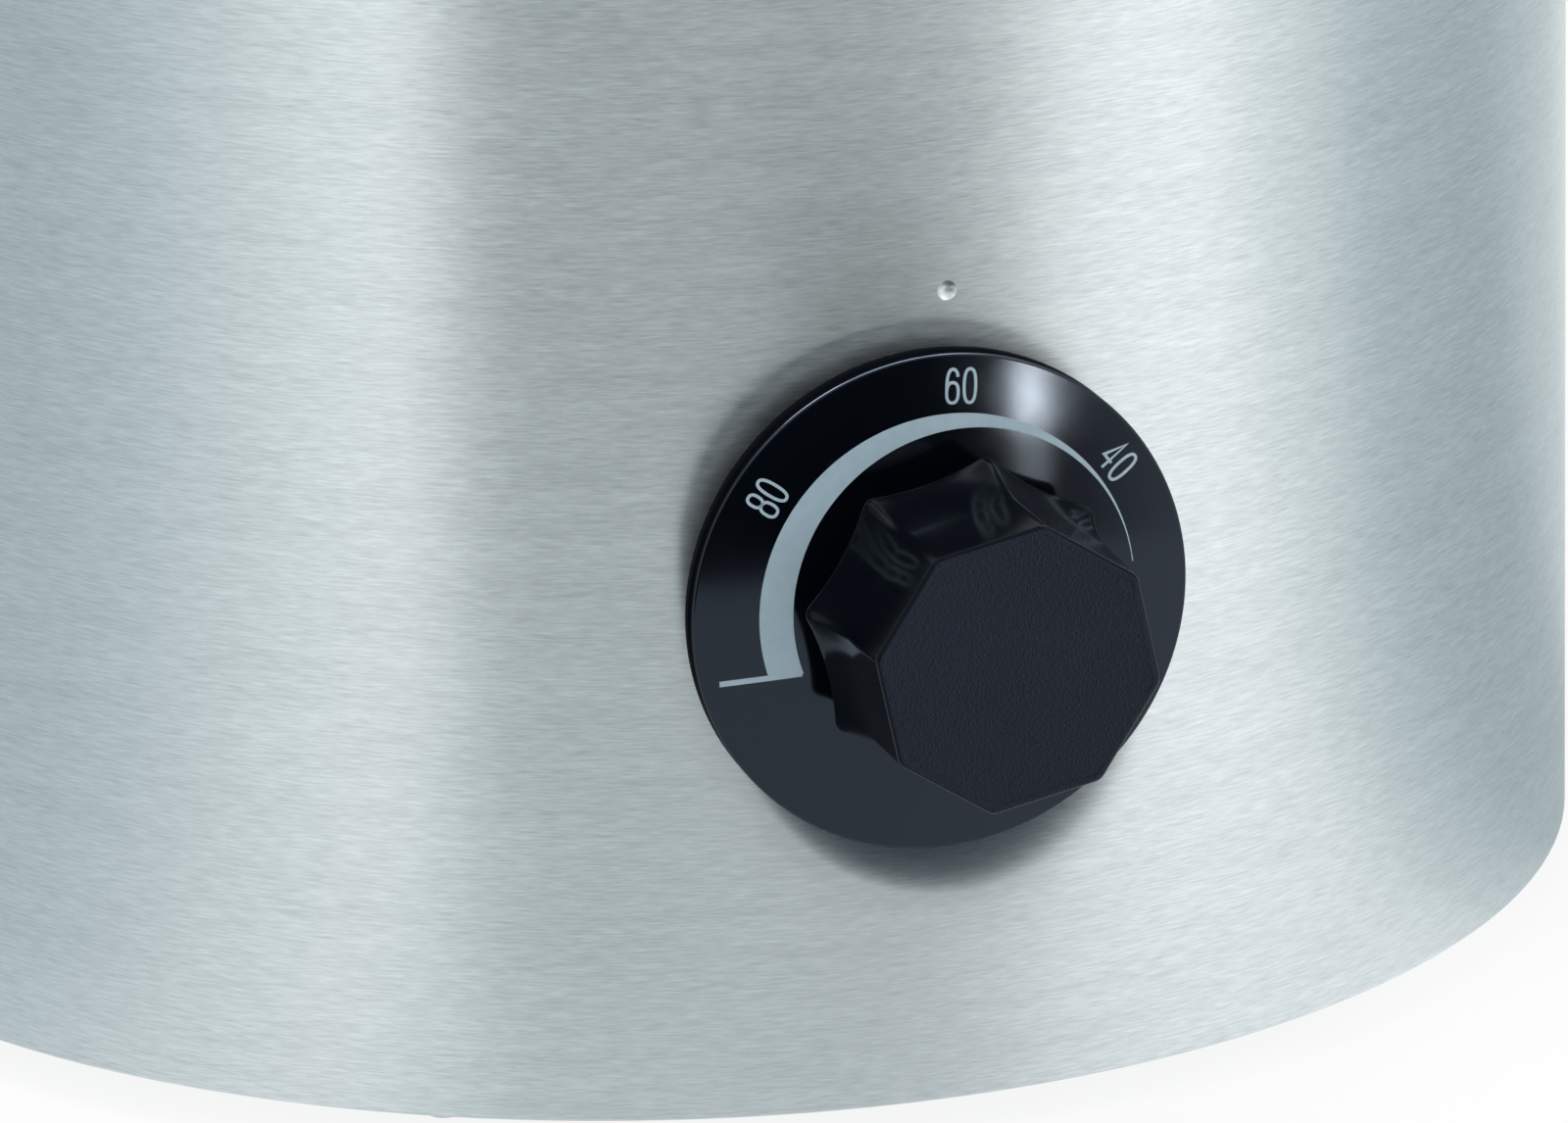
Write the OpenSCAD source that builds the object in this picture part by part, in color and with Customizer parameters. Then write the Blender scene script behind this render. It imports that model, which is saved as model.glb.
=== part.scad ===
// Hot drink dispenser: a round double-walled steel urn with a heated vessel, a lever tap at the front (-Y)
// and a temperature knob on its right side (+X).
// Millimetres, +Z up, origin on the body's axis where the feet stand.

/* [Body] */
// Outer diameter of the shell
body_d = 240; // [230:1:300]
// Height of the shell
shell_h = 400; // [370:1:480]
// Thickness of the shell's sheet
shell_t = 0.8; // [0.6:0.1:1.2]
// Width of the flange turned in at the shell's bottom edge
flange_w = 10; // [9:0.5:14]
// Height of the shell's bottom edge above the table
foot_h = 6; // [5.5:0.5:12]
// Height of the space for the electrics, from the shell's bottom edge to the vessel
compartment_h = 122; // [118:1:150]

/* [Base] */
// Thickness of the base plate
base_t = 1; // [0.8:0.1:2]
// Gap between the base plate and the shell
base_gap = 0.6; // [0.3:0.1:1.5]
// Diameter of a rubber foot
foot_d = 22; // [18:1:28]
// Radius of the circle that the feet stand on
foot_ring_r = 85; // [70:1:90]
// Thread diameter of the screws in the feet, the brackets and the thermostat
screw_d = 4; // [3:0.5:5]
// Thread diameter of the screws in the base plate's edge and of other small screws
small_screw_d = 3; // [2.5:0.5:4]
// Number of screws around the base plate
base_screws_n = 6; // [3:1:12]
// Diameter of a ventilation hole
vent_d = 5; // [3:0.5:7]
// Radius of the ring of ventilation holes
vent_ring_r = 66; // [50:1:70]
// Number of ventilation holes
vents_n = 16; // [8:1:24]

/* [Vessel] */
// Width of the space between the vessel and the shell
jacket_w = 11.2; // [10.2:0.1:16]
// Thickness of the vessel's sheet
vessel_t = 1; // [0.8:0.1:1.5]
// Radius of the vessel's bottom corner
vessel_corner = 10; // [6:1:12]
// Thickness of the seal between the vessel's rim and the shell
seal_t = 1.5; // [1:0.5:3]
// Height of the lip that the rim turns down over the shell
lip_h = 8; // [5:0.5:14]
// Gap between the lip and the shell
lip_gap = 0.6; // [0.3:0.1:1.5]
// Gap left around the insulation
sleeve_gap = 0.5; // [0.3:0.1:1]
// Diameter of the stud under the vessel
stud_d = 8; // [6:1:10]

/* [Heater] */
// Diameter of the heat plate
heat_plate_d = 160; // [150:1:164]
// Thickness of the heat plate
heat_plate_t = 8; // [6:0.5:10]
// Diameter of the circle that the heating tube follows
element_ring_d = 120; // [116:1:130]
// Diameter of the heating tube
element_d = 8; // [6:0.5:8.5]
// Length of the tube's cold ends
element_end = 14; // [11:1:16]
// Diameter of the bridge that presses the heat plate on
bridge_d = 56; // [40:1:60]
// Thickness of the bridge
bridge_t = 2; // [1.5:0.5:3]
// Gap between the heat shield and the shell
shield_gap = 7.2; // [6.2:0.1:11]
// Thickness of the heat shield
shield_t = 0.6; // [0.5:0.1:1]
// Distance from the vessel down to the heat shield
shield_drop = 30; // [28:1:33]
// Diameter of the overheat cut-out
cutout_d = 17; // [14:1:18]
// Height of the overheat cut-out's case
cutout_h = 10; // [8:0.5:11]

/* [Thermostat] */
// Height of the knob's axis above the shell's bottom edge
knob_rise = 66.4; // [60:0.1:72]
// Width of the thermostat's case
thermo_w = 36; // [30:1:40]
// Height of the thermostat's case
thermo_h = 40; // [36:1:44]
// Depth of the thermostat's case
thermo_depth = 30; // [24:1:34]
// Distance between the two screws that hold the thermostat
thermo_pitch = 28; // [26:1:30]
// Width of the bracket
bracket_w = 44; // [40:1:48]
// Thickness of the bracket's sheet
bracket_t = 1.2; // [1:0.1:2]
// Diameter of the spindle
spindle_d = 6; // [5:0.5:7]
// Distance from the spindle's axis to its flat
spindle_flat = 1.5; // [1:0.1:2]
// Diameter of the sensor bulb
bulb_d = 6; // [5:0.5:7]
// Length of the sensor bulb
bulb_len = 50; // [40:1:60]
// Diameter of the capillary tube
capillary_d = 2; // [1.5:0.1:2.5]

/* [Knob] */
// Diameter of the dial
dial_d = 63; // [56:0.5:70]
// Gap between the shell and the back of the dial
dial_gap = 1.5; // [1:0.1:3]
// Thickness of the dial's rim
dial_rim_t = 3.5; // [2.5:0.1:5]
// Rise of the dial from its rim to its flat middle
dial_rise = 1; // [0.4:0.1:2]
// Diameter of the flat middle of the dial
dial_flat_d = 48; // [44:0.5:52]
// Eight-sided grip across its corners, at the dial
grip_d = 40.2; // [37:0.1:43]
// Eight-sided grip across its corners, at the front
grip_front_d = 36.4; // [34:0.1:40]
// Share of the corner radius that is left where the grip's corners are rounded
grip_round = 0.975; // [0.95:0.005:0.995]
// Height of the grip's front above the dial's rim
grip_h = 28.6; // [24:0.1:34]
// Turn of the grip's corners about its axis
grip_turn = 34; // [0:1:44]
// Height of the index dimple above the knob's axis
index_rise = 37.8; // [37:0.1:44]
// Distance of the index dimple to the right of the knob's axis
index_off = 3; // [-3:0.1:3]
// Diameter of the index dimple
index_d = 2.3; // [1.5:0.1:3]

/* [Tap] */
// Height of the tap's inlet above the vessel's bottom
tap_rise = 26; // [24:1:34]
// Distance from the shell to the middle of the tap
tap_reach = 42; // [38:1:60]
// Thread diameter of the inlet
shank_d = 20.8; // [18:0.1:22]
// Diameter of the waterway in the inlet
waterway_d = 12; // [10:0.5:13]
// Diameter of the tap's barrel
barrel_d = 26; // [24:0.5:32]
// Diameter of the valve chamber in the barrel
chamber_d = 16; // [15:0.5:18]
// Diameter of the bore in the spout
spout_bore_d = 10; // [8:0.5:11]
// Outer diameter of the spout's mouth
spout_d = 15; // [13.5:0.5:18]
// Distance from the inlet's axis down to the spout's mouth
spout_drop = 42; // [34:1:50]
// Thickness of the seal between the tap and the shell
tap_seal_t = 4; // [3:0.5:6]
// Diameter of the valve's stem
stem_d = 6; // [5:0.5:6.5]
// Distance between the stem and the lever's pivot
lever_arm = 9; // [8.5:0.5:11]
// Angle that the lever is pulled through
lever_pull = 30; // [20:1:32]
// Length of the lever's grip
lever_grip_len = 54; // [40:1:70]
// Largest diameter of the lever's grip
lever_grip_d = 19; // [14:0.5:24]
// Wire diameter of the tap's spring
spring_wire_d = 1.2; // [0.8:0.1:1.4]
// Number of turns in the tap's spring
spring_turns = 6; // [4:1:8]

/* [Lid] */
// Thickness of the lid's sheet
lid_t = 0.8; // [0.6:0.1:1.2]
// Rise of the lid's dome
lid_rise = 24; // [14:1:40]
// Height of the lid's skirt inside the vessel
lid_skirt = 6; // [4:0.5:12]
// Gap between the lid's skirt and the vessel
lid_gap = 3; // [2:0.5:6]
// Diameter of the lid's knob
lid_knob_d = 38; // [30:1:50]
// Height of the lid's knob
lid_knob_h = 30; // [24:1:40]

/* [Handles] */
// Height of the handles above the shell's bottom edge
handle_rise = 300; // [220:1:330]
// Distance from the shell to the middle of a handle's bar
handle_reach = 34; // [30:1:45]
// Thickness of a handle's bar
bar_w = 16; // [13:0.5:20]
// Height of a handle's bar
bar_h = 22; // [18:0.5:28]
// Radius of the bar's rounded edges
bar_round = 6; // [4:0.5:6]
// Angle around the body from a handle's middle to each of its legs
leg_angle = 21; // [17:1:26]
// Thread diameter of the handles' and the lid's screws
handle_screw_d = 5; // [4:0.5:6]

/* [Electrics] */
// Height of the cable gland above the shell's bottom edge
gland_rise = 34; // [24:1:44]
// Angle of the cable gland about the body, from the knob's side round to the back
gland_turn = 115; // [105:1:135]
// Diameter of the hole for the cable
gland_bore_d = 8; // [6:0.5:9]
// Thread diameter of the gland
gland_thread_d = 16; // [14:0.5:18]
// Width of the terminal block
block_w = 48; // [44:1:56]
// Depth of the terminal block
block_depth = 17; // [14:1:20]
// Height of the terminal block
block_h = 18; // [14:1:22]
// Distance between the poles of the terminal block
pole_pitch = 12; // [10:0.5:13]
// Diameter of a wire
wire_d = 2.6; // [2:0.1:3.2]

/* [Hidden] */
$fn = 64;

// Clearances: a touching fit, a running fit, a free gap and the overlap that makes a cut clean
touch = 0.05;
running = 0.05;
free = 0.3;
over = 1;

// Body
shell_r = body_d / 2;
shell_in = shell_r - shell_t;
shell_z0 = foot_h;
shell_z1 = shell_z0 + shell_h;
base_z0 = shell_z0 + shell_t;
base_z1 = base_z0 + base_t;
base_r = shell_in - base_gap;
flange_in = shell_r - flange_w;
base_screw_ring_r = (flange_in + base_r) / 2;
foot_angles = [45, 135, 225, 315];
base_screw_tail = 3;
screw_tail = 2;
foot_screw_tail = 1;
recess_gap = 1;
foot_taper = 1;

// Vessel
vessel_r = shell_in - jacket_w;
vessel_in = vessel_r - vessel_t;
floor_z = shell_z0 + compartment_h;
rim_z0 = shell_z1 + seal_t;
rim_z1 = rim_z0 + vessel_t;
lip_r = shell_r + lip_gap + vessel_t;
seal_w = 2;
sleeve_up = 4;
sleeve_down = 10;

// Heater
heat_z = floor_z - heat_plate_t;
bridge_z = heat_z - bridge_t;
shield_z1 = floor_z - shield_drop;
shield_z0 = shield_z1 - shield_t;
shield_r = shell_in - shield_gap;
element_r = element_d / 2;
element_gap_angle = 30;
element_pin_step = 1;
element_pin_r = element_r - element_pin_step;
element_pin_x = element_ring_d / 2 * sin(element_gap_angle);
element_pin_y = element_ring_d / 2 * cos(element_gap_angle);
element_pin_z = heat_z - element_end;
nut_af = 1.625 * stud_d;
nut_h = 0.8 * stud_d;
stud_tail = 2;
stud_len = floor_z - shield_z0 + nut_h + stud_tail;
cutout_x = -(bridge_d + element_ring_d - element_d) / 4;
cutout_flange_t = 0.8;
cutout_ear = 4;
cutout_flange_w = 12;
cutout_screw_y = cutout_d / 2 + cutout_ear;
cutout_screw_len = 6;
blade_off = 5;
blade_t = 0.8;
blade_w = 6;
blade_len = 6;
blade_z = heat_z - cutout_flange_t - cutout_h - blade_len;
lead_clear = 2.5;
lead_hole_r = wire_d / 2 + lead_clear;

// Thermostat
knob_z = shell_z0 + knob_rise;
bracket_out = sqrt(pow(shell_in, 2) - pow(bracket_w / 2, 2)) - base_gap;
bracket_in = bracket_out - bracket_t;
bracket_over = 2;
bracket_top = knob_z + thermo_h / 2 + bracket_over;
bracket_foot = 26;
bracket_screw_x = bracket_in - bracket_foot / 2;
bracket_screw_in = 7;
bracket_screw_y = bracket_w / 2 - bracket_screw_in;
thermo_x0 = bracket_in - thermo_depth;
spindle_r = spindle_d / 2;
bush_t = 2;
bush_r = spindle_r + bush_t;
cam_step = 4;
cam_r = spindle_r + cam_step;
cam_t = 3.4;
cam_depth = 14;
cam_x = bracket_in - cam_depth;
spindle_hole_gap = 1;
spindle_hole_r = bush_r + spindle_hole_gap;
thermo_screw_len = 8;
thermo_screw_short = 1;
bulb_r = bulb_d / 2;
bulb_shift = 2;
bulb_x = (heat_plate_d / 2 + vessel_r - vessel_corner) / 2 + bulb_shift;
bulb_z = floor_z - bulb_r - free;
clip_t = 1;
clip_len = 14;
capillary_y = -10;
capillary_clear = 4;
capillary_hole_r = capillary_d / 2 + capillary_clear;
capillary_in = 12;
capillary_hole_off = 1;

// Knob
dial_r = dial_d / 2;
dial_back = shell_r + dial_gap;
dial_front = dial_rim_t + dial_rise;
dial_edge = 0.6;
grip_top = dial_rim_t + grip_h;
knob_hub_t = 3.5;
knob_hub_r = spindle_r + knob_hub_t;
knob_wall = 4;
knob_hollow_r = grip_front_d / 2 - knob_wall;
knob_hollow_h = 20;
spindle_short = 2;
spindle_end = dial_back + knob_hollow_h - spindle_short;
knob_clip_t = 0.6;
knob_clip_w = 4;
index_depth = 0.55 * shell_t;
index_turn = asin(index_off / shell_r);

// Tap
tap_y = -(shell_r + tap_reach);
tap_z = floor_z + tap_rise;
shank_r = shank_d / 2;
tap_hole_r = shank_r + free;
tap_flange_w = 6;
tap_flange_r = shank_r + tap_flange_w;
tap_flange_t = 4;
tap_flange_y = -(shell_r + tap_seal_t);
tap_nut_w = 5.5;
tap_nut_af = 2 * (shank_r + tap_nut_w);
tap_nut_t = 7;
inner_seal_t = 5;
inner_seal_y = -(vessel_in - inner_seal_t);
shank_tail = 2;
shank_end_y = inner_seal_y + tap_nut_t + shank_tail;
neck_t = 3.5;
neck_r = waterway_d / 2 + neck_t;
barrel_r = barrel_d / 2;
chamber_r = chamber_d / 2;
seat_drop = 2;
seat_z = tap_z - waterway_d / 2 - seat_drop;
barrel_rise = 16;
barrel_z1 = tap_z + barrel_rise;
barrel_floor_t = 4;
barrel_z0 = seat_z - barrel_floor_t;
bonnet_step = 1;
bonnet_r = barrel_r + bonnet_step;
bonnet_h = 14;
bonnet_z1 = barrel_z1 + bonnet_h;
bonnet_top_t = 4;
ceiling_z = bonnet_z1 - bonnet_top_t;
spigot_h = 5;
spigot_t = 1.4;
spring_chamber_r = chamber_r - spigot_t;
stem_r = stem_d / 2;
collar_gap = 0.6;
collar_r = spring_chamber_r - collar_gap;
collar_rise = 5;
collar_z = seat_z + collar_rise;
collar_t = 2;
plug_gap = 1;
plug_r = chamber_r - plug_gap;
plug_t = 4;
pivot_y = tap_y - lever_arm;
pivot_rise = 7;
pivot_z = bonnet_z1 + pivot_rise;
pivot_r = 2;
hub_r = 5.5;
arm_gap = 0.6;
arm_in = stem_r + arm_gap;
arm_t = 2.4;
arm_out = arm_in + arm_t;
ear_in = arm_out + free;
ear_t = 3;
ear_r = 6;
stem_pin_r = 1.5;
slot_r = stem_pin_r + free;
arm_h = 8;
arm_reach = lever_arm / cos(lever_pull);
arm_tip = 2;
arm_end = arm_reach + slot_r + arm_tip;
neck_step = 2;
neck_w = 2 * (arm_out - neck_step);
grip_stud_r = 3;
grip_stud_len = 24;
lever_neck = 18;
lever_grip_z = pivot_z + lever_neck;
grip_foot_t = 2.5;
lever_grip_foot_r = neck_w / 2 + grip_foot_t;
grip_edge = 3;
stem_head = 1;
pin_head = 1.5;
pin_head_step = 1;
spout_taper = 4;
spring_r = (stem_r + spring_chamber_r) / 2;
spring_z0 = collar_z + collar_t;

// Lid
lid_in = vessel_in - lid_gap;
lid_inset = 1;
lid_r = shell_r - lid_inset;
lid_bead_r = 1.2;
dome_r = (pow(lid_in, 2) + pow(lid_rise, 2)) / (2 * lid_rise);
dome_z = rim_z1 + lid_rise - dome_r;
lid_top = rim_z1 + lid_rise;
lid_knob_neck_r = 9;
lid_knob_edge = lid_knob_h / 4;
lid_screw_bite = 12;

// Handles
handle_z = shell_z0 + handle_rise;
bar_r = shell_r + handle_reach;
leg_step = 2;
leg_w = bar_w + 2 * leg_step;
bar_tail = 1;
bar_angle = leg_angle + asin((leg_w / 2 + bar_tail) / bar_r);
handle_screw_short = 1;
handle_screw_bite = 15;
handle_head_r = handle_screw_d * 0.9;
handle_head_h = handle_screw_d / 2;
handle_head_seat = sqrt(pow(shell_in, 2) - pow(handle_head_r, 2)) - touch;

// Electrics
gland_z = shell_z0 + gland_rise;
gland_flange_w = 3;
gland_af = gland_thread_d + 2 * gland_flange_w;
gland_corner_r = gland_af / 2 / cos(30);
gland_flange_t = 4;
gland_nut_t = 4;
gland_thread_r = gland_thread_d / 2;
gland_nut_y = sqrt(pow(shell_in, 2) - pow(gland_corner_r, 2)) - touch;
gland_flange_y = shell_r + touch;
gland_tail = 8;
gland_tail_step = 0.5;
gland_tail_r = gland_thread_r - gland_tail_step;
gland_cap_y = gland_flange_y + gland_flange_t;
gland_cap_wall = 3;
gland_cap_step = 1;
gland_cap_len = gland_tail + gland_cap_wall + gland_cap_step;
gland_cap_lip = 2;
gland_thread_tail = 4;
gland_end_y = gland_nut_y - gland_nut_t - gland_thread_tail;
block_y = 70;
block_front_y = block_y - block_depth / 2;
pole_rise = 6;
pole_z = base_z1 + pole_rise;
block_screw_in = 4;
block_screw_x = block_w / 2 - block_screw_in;
pole_hole_gap = 1.4;
pole_screw_gap = 1;
pole_screw_h = 5;
earth_stud_tail = 3;
earth_y = 28;
earth_stud_r = 2;
earth_nut_af = 7;
earth_nut_h = 3.2;
earth_z = base_z1 + earth_nut_h / 2;
wire_r = wire_d / 2;
wire_sides = 8;
wire_steps = 3;

// Routes of the wires and of the capillary: the ends sit on their terminals, the points between lie by hand
live_route = [
    [pole_pitch, block_front_y - free, pole_z], [pole_pitch, block_front_y - 6, pole_z], [20, 40, 18],
    [36, 20, 34], [58, -2, 54], [thermo_x0 - 8, -8, knob_z - 10], [thermo_x0 - free, -8, knob_z - 10]
];
switched_route = [
    [thermo_x0 - free, 8, knob_z + 8], [thermo_x0 - 8, 8, knob_z + 8], [50, 0, 72], [10, -12, 66],
    [-24, -14, 68], [cutout_x - blade_off, -6, 82], [cutout_x - blade_off, 0, blade_z - 8],
    [cutout_x - blade_off, 0, blade_z - free]
];
heater_route = [
    [cutout_x + blade_off, 0, blade_z - free], [cutout_x + blade_off, 0, blade_z - 8],
    [-24, 14, 80], [2, 36, 76],
    [element_pin_x - 6, element_pin_y - 2, 82], [element_pin_x, element_pin_y, element_pin_z - 10],
    [element_pin_x, element_pin_y, element_pin_z - free]
];
neutral_route = [
    [-pole_pitch, block_front_y - free, pole_z], [-pole_pitch, block_front_y - 6, pole_z],
    [-22, 46, 28], [1 - element_pin_x, element_pin_y - 2, 56],
    [-element_pin_x, element_pin_y, element_pin_z - 16],
    [-element_pin_x, element_pin_y, element_pin_z - free]
];
earth_route = [
    [0, block_front_y - free, pole_z], [0, block_front_y - 5, pole_z], [0, block_front_y - 15, earth_z + 1],
    [0, earth_y + earth_nut_af / 2 + 5, earth_z], [0, earth_y + earth_nut_af / 2 + free, earth_z]
];
capillary_route = [
    [thermo_x0 + capillary_in, capillary_y, knob_z + thermo_h / 2 + free],
    [thermo_x0 + capillary_in, capillary_y, knob_z + thermo_h / 2 + 8],
    [bulb_x + 2, capillary_y - 8, shield_z1 + 8], [bulb_x + 2, -bulb_len / 2 - 12, shield_z1 + 16],
    [bulb_x, -bulb_len / 2 - 14, bulb_z - 2], [bulb_x, -bulb_len / 2 - 6, bulb_z],
    [bulb_x, -bulb_len / 2 - free, bulb_z]
];

// A smooth curve through a list of points
function curve_point(a, b, c, d, t) =
    0.5 * (2 * b + (c - a) * t + (2 * a - 5 * b + 4 * c - d) * t * t + (3 * b - a - 3 * c + d) * t * t * t);
function smooth(p) = concat(
    [for (i = [0 : len(p) - 2], s = [0 : wire_steps - 1])
        curve_point(p[max(i - 1, 0)], p[i], p[i + 1], p[min(i + 2, len(p) - 1)], s / wire_steps)],
    [p[len(p) - 1]]
);
function unit(v) = v / norm(v);
function heading(p, i) = unit(p[min(i + 1, len(p) - 1)] - p[max(i - 1, 0)]);
function square_to(v, t) = unit(v - (v * t) * t);
// The side directions along a path, each carried over from the one before
function sides_along(p) = [
    for (i = 0, s = square_to(abs(heading(p, 0).z) > 0.8 ? [1, 0, 0] : [0, 0, 1], heading(p, 0));
         i < len(p);
         i = i + 1, s = i < len(p) ? square_to(s, heading(p, i)) : s) s
];

// A round tube along a list of points, with flat ends
module tube_along(p, r, sides) {
    side = sides_along(p);
    points = [
        for (i = [0 : len(p) - 1], k = [0 : sides - 1])
            p[i] + r * (cos(360 * k / sides) * side[i] + sin(360 * k / sides) * cross(heading(p, i), side[i]))
    ];
    last = (len(p) - 1) * sides;
    walls = [
        for (i = [0 : len(p) - 2], k = [0 : sides - 1], half = [0, 1])
            let (a = i * sides + k, b = i * sides + (k + 1) % sides)
                half == 0 ? [a, a + sides, b] : [b, a + sides, b + sides]
    ];
    ends = [
        for (k = [1 : sides - 2], end = [0, 1])
            end == 0 ? [0, k, k + 1] : [last, last + k + 1, last + k]
    ];
    polyhedron(points, concat(walls, ends));
}

// A plain tube standing on z
module pipe(r_out, r_in, z0, z1) {
    translate([0, 0, z0]) difference() {
        cylinder(r = r_out, h = z1 - z0);
        translate([0, 0, -over]) cylinder(r = r_in, h = z1 - z0 + 2 * over);
    }
}

// Turns a shape that stands on z so that it points outwards at an angle around the body
module radial(angle, z) {
    rotate([0, 0, angle]) translate([0, 0, z]) rotate([0, 90, 0]) children();
}

// A pan-head screw: the head's seat is at z = 0 and the thread points down
module pan_screw(d, length) {
    translate([0, 0, -length]) cylinder(d = d - 2 * touch, h = length);
    difference() {
        cylinder(d1 = 1.8 * d, d2 = 1.6 * d, h = 0.5 * d);
        translate([0, 0, 0.5 * d]) cube([1.1 * d, 0.2 * d, 0.4 * d], center = true);
        translate([0, 0, 0.5 * d]) cube([0.2 * d, 1.1 * d, 0.4 * d], center = true);
    }
}

// A hexagon nut standing on z = 0
module hex_nut(d, af, h) {
    difference() {
        cylinder(r = af / 2 / cos(30), h = h, $fn = 6);
        translate([0, 0, -over]) cylinder(d = d + 2 * touch, h = h + 2 * over);
    }
}

// A rectangle with round corners, centred
module round_rect(w, h, r) {
    square([w - 2 * r, h], center = true);
    square([w, h - 2 * r], center = true);
    for (x = [-1, 1], y = [-1, 1]) translate([x * (w / 2 - r), y * (h / 2 - r)]) circle(r);
}

// Places a child at each foot
module at_feet() {
    for (a = foot_angles) rotate([0, 0, a]) translate([foot_ring_r, 0, 0]) children();
}

// Places a child at each screw around the base plate
module at_base_screws() {
    for (i = [0 : base_screws_n - 1]) rotate([0, 0, 360 * (i + 0.5) / base_screws_n])
        translate([base_screw_ring_r, 0, 0]) children();
}

// Places a child at each handle screw, pointing outwards from the body's axis
module at_handle_screws() {
    for (side = [0, 180], a = [-leg_angle, leg_angle]) radial(side + a, handle_z) children();
}

module outer_shell() {
    color("silver") difference() {
        rotate_extrude($fn = 180) polygon([
            [flange_in, shell_z0], [shell_r, shell_z0], [shell_r, shell_z1],
            [shell_in, shell_z1], [shell_in, base_z0], [flange_in, base_z0]
        ]);
        radial(0, knob_z) cylinder(r = spindle_hole_r, h = shell_r + over);
        radial(index_turn, knob_z + index_rise) translate([0, 0, shell_r - index_depth])
            cylinder(r1 = 0, r2 = index_d / 2, h = index_depth);
        radial(-90, tap_z) cylinder(r = tap_hole_r, h = shell_r + over);
        radial(gland_turn, gland_z) cylinder(r = gland_thread_r + free, h = shell_r + over);
        at_handle_screws() cylinder(d = handle_screw_d + free, h = shell_r + over);
        at_base_screws() cylinder(d = small_screw_d + free, h = base_z0 + over);
    }
}

module base_plate() {
    color("gray") difference() {
        translate([0, 0, base_z0]) cylinder(r = base_r, h = base_t);
        at_feet() cylinder(d = screw_d + free, h = base_z1 + over);
        at_base_screws() cylinder(d = small_screw_d, h = base_z1 + over);
        for (i = [0 : vents_n - 1]) rotate([0, 0, 360 * (i + 0.5) / vents_n])
            translate([vent_ring_r, 0, 0]) cylinder(d = vent_d, h = base_z1 + over);
        for (y = [-1, 1]) translate([bracket_screw_x, y * bracket_screw_y, 0])
            cylinder(d = screw_d, h = base_z1 + over);
        for (x = [-1, 1]) translate([x * block_screw_x, block_y, 0])
            cylinder(d = small_screw_d, h = base_z1 + over);
        translate([0, earth_y, 0]) cylinder(r = earth_stud_r + touch, h = base_z1 + over);
    }
}

module base_screws() {
    color("silver") at_base_screws() translate([0, 0, shell_z0]) rotate([180, 0, 0])
        pan_screw(small_screw_d, base_z1 - shell_z0 + base_screw_tail);
}

module rubber_feet() {
    recess_r = 0.9 * screw_d + recess_gap;
    color("dimgray") at_feet() difference() {
        cylinder(r1 = foot_d / 2 - foot_taper, r2 = foot_d / 2, h = base_z0);
        translate([0, 0, -over]) cylinder(r = recess_r, h = over + base_z0 / 2);
        cylinder(d = screw_d + free, h = base_z0 + over);
    }
}

module foot_screws() {
    color("silver") at_feet() translate([0, 0, base_z0 / 2]) rotate([180, 0, 0])
        pan_screw(screw_d, base_z1 - base_z0 / 2 + 0.8 * screw_d + foot_screw_tail);
}

module foot_nuts() {
    color("silver") at_feet() translate([0, 0, base_z1]) hex_nut(screw_d, 1.75 * screw_d, 0.8 * screw_d);
}

// Half section of the vessel's bowl, shrunk by a sheet's thickness for its inside
module bowl_section(inset) {
    corner = vessel_corner - inset;
    top = rim_z1 + inset - floor_z;
    translate([0, floor_z + inset]) {
        square([vessel_r - inset - corner, top]);
        translate([0, corner]) square([vessel_r - inset, top - corner]);
        translate([vessel_r - inset - corner, corner]) circle(corner);
    }
}

module inner_vessel() {
    color("lightgray") difference() {
        union() {
            rotate_extrude($fn = 180) {
                intersection() {
                    difference() {
                        bowl_section(0);
                        bowl_section(vessel_t);
                    }
                    square([vessel_r, rim_z1]);
                }
                translate([vessel_in, rim_z0]) square([lip_r - vessel_in, vessel_t]);
                translate([lip_r - vessel_t, rim_z1 - lip_h]) square([vessel_t, lip_h]);
            }
            translate([0, 0, floor_z - stud_len]) cylinder(d = stud_d, h = stud_len + vessel_t / 2);
        }
        radial(-90, tap_z) cylinder(r = tap_hole_r, h = vessel_r + over);
    }
}

module rim_seal() {
    color("dimgray") pipe(shell_r, shell_in - seal_w, shell_z1, rim_z0);
}

module insulation_sleeve() {
    color("khaki") difference() {
        pipe(shell_in - sleeve_gap, vessel_r + sleeve_gap, floor_z + sleeve_up, shell_z1 - sleeve_down);
        radial(-90, tap_z) cylinder(r = tap_flange_r + sleeve_gap, h = shell_r);
        at_handle_screws() translate([0, 0, handle_head_seat - handle_head_h - sleeve_gap])
            cylinder(r = handle_head_r + sleeve_gap, h = shell_t + handle_head_h + over);
    }
}

module heat_plate() {
    color("lightsteelblue") difference() {
        translate([0, 0, heat_z]) cylinder(d = heat_plate_d, h = heat_plate_t);
        cylinder(d = stud_d + 2 * free, h = floor_z + over);
        translate([0, 0, heat_z]) rotate_extrude()
            translate([element_ring_d / 2, 0]) circle(element_r + touch);
        for (y = [-1, 1]) translate([cutout_x, y * cutout_screw_y, heat_z - over])
            cylinder(d = small_screw_d, h = cutout_screw_len + over);
    }
}

module heating_element() {
    start = 90 + element_gap_angle;
    color("dimgray") {
        translate([0, 0, heat_z]) rotate([0, 0, start]) rotate_extrude(angle = 360 - 2 * element_gap_angle)
            translate([element_ring_d / 2, 0]) circle(element_r);
        for (side = [-1, 1]) translate([side * element_pin_x, element_pin_y, element_pin_z])
            cylinder(r = element_pin_r, h = element_end);
    }
}

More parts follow.
